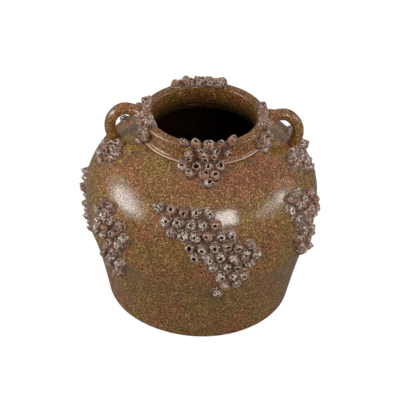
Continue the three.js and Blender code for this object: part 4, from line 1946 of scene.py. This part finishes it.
    def trimmed(self, points: np.ndarray, above: np.ndarray, marks: dict[Mark, np.ndarray]) -> Clay:
        """Keeps the part of the grid that stands clear of the wall.

        Args:
            points: The grid's points.
            above: Whether each point is clear of the wall.
            marks: The values at each point.

        Returns:
            The skin of clay.
        """
        rows, columns = above.shape
        numbers = np.arange(rows * columns).reshape(rows, columns)
        keep = above[:-1, :-1] | above[1:, :-1] | above[:-1, 1:] | above[1:, 1:]
        corners = [numbers[:-1, :-1], numbers[1:, :-1], numbers[1:, 1:], numbers[:-1, 1:]]
        faces = np.stack([corner[keep] for corner in corners], axis=1)
        used, renumbered = np.unique(faces, return_inverse=True)
        faces = renumbered.reshape(faces.shape)
        kept = {mark: values.reshape(-1)[used] for mark, values in marks.items()}
        return Clay(points.reshape(-1, 3)[used], [tuple(face) for face in faces.tolist()], kept)

    def build(self, glaze: bpy.types.Material) -> bpy.types.Object:
        """Makes the bunch.

        Args:
            glaze: Its finish.

        Returns:
            The bunch's piece.
        """
        piece = self.clay().piece(f"jar_cups_{self.name}")
        return dressed(piece, glaze, f"cups_{self.name}")


# The rows of each bunch: where its first cup is, in half pitches right of its axis, and how many follow
HANGING = [(-3, 4), (-4, 4), (-3, 4), (-4, 4), (-3, 3), (-2, 2), (-1, 1)]
TRAILING = [(1, 2), (-2, 3), (-3, 4), (-4, 4), (-3, 3), (-2, 2), (-1, 1)]
LEANING = [(3, 1), (0, 3), (-3, 4), (-2, 4), (1, 3), (4, 2)]
FRONT = [(-8, 5), (-7, 5), (-6, 6), (-3, 6), (-2, 6), (1, 4), (2, 3), (3, 2), (2, 1)]
FRONT_RIGHT = [(-2, 2), (-3, 4), (-2, 4), (-1, 4), (-2, 3), (-1, 3), (0, 2)]
FRONT_LEFT = [(-3, 2), (-4, 4), (-3, 4), (-4, 4), (-1, 2), (-2, 3), (-1, 2), (0, 1)]
RIM_FRONT = [(-4, 5), (-3, 4), (-4, 4), (-3, 3), (0, 1)]
RIM_BACK = [(-4, 5), (-3, 4), (-2, 3), (-1, 1)]
RIM_RIGHT = [(-3, 4), (-4, 3), (-5, 3)]
RIM_LEFT = [(-3, 4), (0, 3), (3, 1)]
HANDLE_FOOT = [(-2, 3), (-3, 3), (-2, 2)]

# Cups outside the rows
RIM_BACK_EXTRAS = (
    Extra(199.5, 0.5, 8.0, 1.0, horned=0.5),
    Extra(164.5, 0.5, 7.5, 1.0, horned=0.5),
    Extra(193.5, 0.0, 4.5),
    Extra(182.5, 0.5, 5.0),
    Extra(171.5, 0.0, 4.5),
    Extra(205.0, 1.0, 4.0),
    Extra(197.0, -5.0, 3.5, 0.9),
    Extra(186.0, -5.0, 3.5),
    Extra(176.0, -5.0, 3.0, 0.9),
    Extra(166.0, -5.0, 3.5),
)
RIM_LEFT_EXTRAS = (
    Extra(-109.0, -1.0, 5.0),
    Extra(-97.0, 5.0, 8.0, 0.9),
    Extra(-63.0, -4.0, 6.5, 1.0),
    Extra(-73.0, -4.5, 5.5, 0.9),
    Extra(-82.0, -4.0, 6.0, 0.9),
    Extra(-91.5, -2.5, 7.5, 1.05),
    Extra(-101.0, -3.5, 6.0, 0.9),
    Extra(-61.0, 9.0, 6.0, 0.9),
    Extra(-83.0, 6.0, 7.5, 0.9),
    Extra(-74.5, 5.0, 6.5, 0.9),
    Extra(-63.0, 4.0, 5.5, 0.9),
    Extra(-76.0, 17.0, 6.5, 0.9),
    Extra(-66.0, 19.5, 6.0, 0.95),
    Extra(-81.0, 22.0, 5.5, 0.9),
    Extra(-86.0, 13.5, 7.0, 0.9),
)
RIM_RIGHT_EXTRAS = (
    Extra(97.0, 5.0, 8.0, 0.9),
    Extra(83.0, 6.5, 7.0, 0.9),
    Extra(93.0, -3.0, 5.5, 0.9),
    Extra(79.0, -3.5, 5.0, 0.9),
    Extra(103.0, -2.5, 5.5, 0.9),
    Extra(74.0, 5.0, 5.5, 0.9),
    Extra(60.0, 17.0, 4.5, 0.9),
    Extra(69.0, 21.0, 4.5, 0.9),
)
RIM_FRONT_EXTRAS = (
    Extra(-2, 6.0, 4.5, 0.7),
    Extra(10.5, 6.5, 4.5, 0.7),
    Extra(2, 18.0, 5.0, 0.75),
    Extra(-12.5, 19.0, 5.0, 0.75),
)
HANDLE_RIGHT_EXTRAS = (
    Extra(95, 12.6, 12.5, 1.0, 3.0, 0.35, 0.0),
    Extra(84, 27.5, 8.0, 0.75, horned=0.6),
    Extra(77, 6.0, 6.5),
    Extra(72, -1.0, 5.0),
    Extra(92, 5.0, 7.0),
    Extra(87, 14.5, 6.5),
)
HANDLE_LEFT_EXTRAS = (
    Extra(-72, 5.0, 6.0),
    Extra(-84, 5.5, 6.5),
    Extra(-90, 12.0, 7.0),
    Extra(-80, -7.5, 7.0),
    Extra(-74, -4.0, 5.0),
)

# Cups on the shoulder behind the handles, whose lengths are from the seam and not from a first row
SHOULDER_EXTRAS = {
    "right": (Extra(112.0, 38.0, 7.0, 0.9), Extra(107.0, 31.0, 5.0, 0.8)),
    "left": (Extra(-114.0, 30.0, 6.5, 0.9),),
}


@dataclass
class CupBunches:
    """All the jar's bunches of cups.

    Attributes:
        sizes: The jar's sizes.
        cups: The cups' sizes.
        foot_height: The height on the shoulder of a handle's foot.
    """

    sizes: JarSizes
    cups: CupSizes = CupSizes()
    foot_height: float = 191.9

    def on_belly(self, belly: Skin) -> list[Bunch]:
        """Lists the bunches on the belly.

        Args:
            belly: The body's skin, from the seam down.

        Returns:
            The bunches.
        """
        found, whole = [], belly.lengths[-1]
        for seed, (name, azimuth, drop, rows, horned) in enumerate(
            [
                ("front", 4, 0.226, FRONT, 0.12),
                ("front_right", 59, 0.256, FRONT_RIGHT, 0.25),
                ("right", 120, 0.358, TRAILING, 0.5),
                ("back_right", 161, 0.273, HANGING, 0.3),
                ("back_left", 205, 0.303, HANGING, 0.3),
                ("left", -103, 0.405, LEANING, 0.8),
                ("front_left", -47, 0.328, FRONT_LEFT, 0.3),
            ]
        ):
            starts, seat = [drop * whole, self.cups.row_pitch], Seat.BELLY
            above = SHOULDER_EXTRAS.get(name, ())
            extras = tuple(replace(extra, along=extra.along - starts[0]) for extra in above)
            found.append(Bunch(name, seat, belly, azimuth, rows, seed, starts, horned, extras=extras))
        return found

    def on_rim(self) -> list[Bunch]:
        """Lists the bunches that hang from the lip.

        Returns:
            The bunches.
        """
        sizes, cups = self.sizes, self.cups
        rim = Skin(sizes.rim_skin(), softness=1.6)
        first = float(lengths_along(sizes.bore_edge())[-1]) + cups.rim_row_drop
        below = rim.length_to(sizes.seam_height) + cups.shoulder_row_drop
        starts = [first, first + cups.row_pitch, below, cups.shoulder_row_pitch]
        bunches = [
            ("rim_front", 5, RIM_FRONT, RIM_FRONT_EXTRAS),
            ("rim_right", 88, RIM_RIGHT, RIM_RIGHT_EXTRAS),
            ("rim_back", 188, RIM_BACK, RIM_BACK_EXTRAS),
            ("rim_left", -86, RIM_LEFT, RIM_LEFT_EXTRAS),
        ]
        return [
            Bunch(name, Seat.RIM, rim, azimuth, rows, 10 + seed, starts, 0.2, extras=extras)
            for seed, (name, azimuth, rows, extras) in enumerate(bunches)
        ]

    def at_handles(self, belly: Skin) -> list[Bunch]:
        """Lists the bunches at the handles' feet.

        Args:
            belly: The body's skin, from the seam down.

        Returns:
            The bunches.
        """
        rows, seat, cups = HANDLE_FOOT, Seat.HANDLE_FOOT, self.cups
        starts = [belly.length_to(self.foot_height) + cups.handle_row_drop, cups.shoulder_row_pitch]
        bunches = [("handle_right", 85, HANDLE_RIGHT_EXTRAS), ("handle_left", -78, HANDLE_LEFT_EXTRAS)]
        return [
            Bunch(name, seat, belly, azimuth, rows, 20 + seed, starts, 0.45, extras=extras)
            for seed, (name, azimuth, extras) in enumerate(bunches)
        ]

    def build(self, glaze: bpy.types.Material) -> list[bpy.types.Object]:
        """Makes every bunch.

        Args:
            glaze: Their finish.

        Returns:
            The bunches' pieces.
        """
        belly = Skin(self.sizes.outside()[::-1])
        bunches = self.on_belly(belly) + self.on_rim() + self.at_handles(belly)
        return [bunch.build(glaze) for bunch in bunches]


# Studio


@dataclass
class Lamp:
    """A soft box that faces the jar.

    Attributes:
        name: The lamp's name.
        azimuth: Its place round the jar, in degrees to the right of the front.
        elevation: Its height above the jar's middle, in degrees.
        distance: From the jar's middle, in metres.
        width: Of its face, in metres.
        height: Of its face, in metres.
        radiance: How bright its face is.
        round: Whether its face is an ellipse.
    """

    name: str
    azimuth: float
    elevation: float
    distance: float
    width: float
    height: float
    radiance: float
    round: bool = False

    def build(self) -> bpy.types.Object:
        """Makes the lamp.

        Returns:
            The lamp's object.
        """
        light = bpy.data.lights.new(self.name, "AREA")
        light.shape = "ELLIPSE" if self.round else "RECTANGLE"
        light.size = self.width
        light.size_y = self.height
        face = self.width * self.height * (math.pi / 4 if self.round else 1)
        light.energy = self.radiance * math.pi * face
        lamp = bpy.data.objects.new(self.name, light)
        turn, lift = math.radians(self.azimuth), math.radians(self.elevation)
        way = Vector((math.cos(lift) * math.sin(turn), -math.cos(lift) * math.cos(turn), math.sin(lift)))
        lamp.location = Vector((0, 0, JAR_MIDDLE)) + way * self.distance
        lamp.rotation_euler = way.to_track_quat("Z", "Y").to_euler()
        bpy.context.scene.collection.objects.link(lamp)
        return lamp


@dataclass
class Studio:
    """The floor, the soft light and the white surroundings.

    Attributes:
        floor_size: Of the floor's side, in metres.
        fill: How bright the surroundings are on the jar.
    """

    floor_size: float = 12.0
    fill: float = 0.45

    def floor(self) -> bpy.types.Object:
        """Lays the floor.

        Returns:
            The floor's object.
        """
        half = self.floor_size / 2 / MM
        points = np.array([(-half, -half, 0), (half, -half, 0), (half, half, 0), (-half, half, 0)], float)
        floor = Clay(points, [(0, 1, 2, 3)]).piece("floor")
        floor.data.materials.append(PaleFloor().material())
        return floor

    def surroundings(self) -> None:
        """Makes the world white to the camera and a plain fill to the jar."""
        world = bpy.data.worlds.new("studio")
        bpy.context.scene.world = world
        recipe = Recipe(world)
        strength = recipe.spread(recipe.seen(), self.fill, 1.0)
        back = recipe.add("ShaderNodeBackground", {"Color": WHITE, "Strength": strength})
        recipe.add("ShaderNodeOutputWorld", {"Surface": back.outputs[0]})

    def build(self) -> None:
        """Sets up the whole studio."""
        self.floor()
        self.surroundings()
        for lamp in (
            Lamp("key", 26, 32, 1.6, 0.5, 0.54, 9.5),
            Lamp("left", -79, 16, 1.58, 0.8, 0.45, 3.6, round=True),
            Lamp("left_middle", -78, 17, 1.6, 1.12, 0.62, 2.8, round=True),
            Lamp("left_wide", -80, 17, 1.65, 1.7, 1.0, 1.5, round=True),
            Lamp("right", 90, 20, 1.6, 0.34, 0.34, 4.2, round=True),
            Lamp("right_band", 74, 23, 1.62, 1.1, 0.36, 1.8, round=True),
            Lamp("right_wide", 88, 20, 1.65, 1.4, 0.8, 0.5, round=True),
        ):
            lamp.build()


@dataclass
class PhotoCamera:
    """The camera that sees the jar as the photograph does.

    Attributes:
        elevation: Of the camera above the level, in radians.
        distance: From the point that it faces, in metres.
        aim: That point's height, in metres.
        lens: Its focal length for a sensor 36 mm wide.
        roll: How far the camera is turned, in degrees.
        shift: The part of the frame by which its middle is moved, right and up.
    """

    elevation: float = 0.6237
    distance: float = 1.70687
    aim: float = 0.095
    lens: float = 129.22
    roll: float = 2.197
    shift: tuple[float, float] = (0.0174, 0.01435)

    def build(self) -> bpy.types.Object:
        """Makes the camera and looks through it.

        Returns:
            The camera's object.
        """
        lens = bpy.data.cameras.new("photo_camera")
        lens.sensor_width = SENSOR_WIDTH
        lens.sensor_fit = "HORIZONTAL"
        lens.lens = self.lens
        lens.shift_x, lens.shift_y = self.shift
        camera = bpy.data.objects.new("photo_camera", lens)
        tilt, roll = self.elevation, math.radians(self.roll)
        ahead = Vector((0, math.cos(tilt), -math.sin(tilt)))
        upward = Vector((0, math.sin(tilt), math.cos(tilt)))
        right = Vector((1, 0, 0))
        across = math.cos(roll) * right + math.sin(roll) * upward
        above = -math.sin(roll) * right + math.cos(roll) * upward
        turn = Matrix((across, above, -ahead)).transposed()
        place = Vector((0, 0, self.aim)) - ahead * self.distance
        camera.matrix_world = Matrix.Translation(place) @ turn.to_4x4()
        bpy.context.scene.collection.objects.link(camera)
        bpy.context.scene.camera = camera
        return camera


def main() -> None:
    """Builds the jar, piece by piece, and its studio."""
    logging.basicConfig(level=logging.INFO, format="%(message)s")
    bpy.context.scene.view_settings.view_transform = "Standard"
    sizes = JarSizes()
    glaze = SpeckledGlaze().material()
    cup_glaze = CupGlaze().material()
    made = [Body(sizes).build(glaze), Collar(sizes).build(glaze)]
    made += [Handle(sizes, "right", 90).build(glaze), Handle(sizes, "left", -90).build(glaze)]
    made += CupBunches(sizes).build(cup_glaze)
    for piece in made:
        LOG.info("%s: %d faces", piece.name, len(piece.data.polygons))
    PhotoCamera().build()
    Studio().build()


if __name__ == "__main__":
    main()
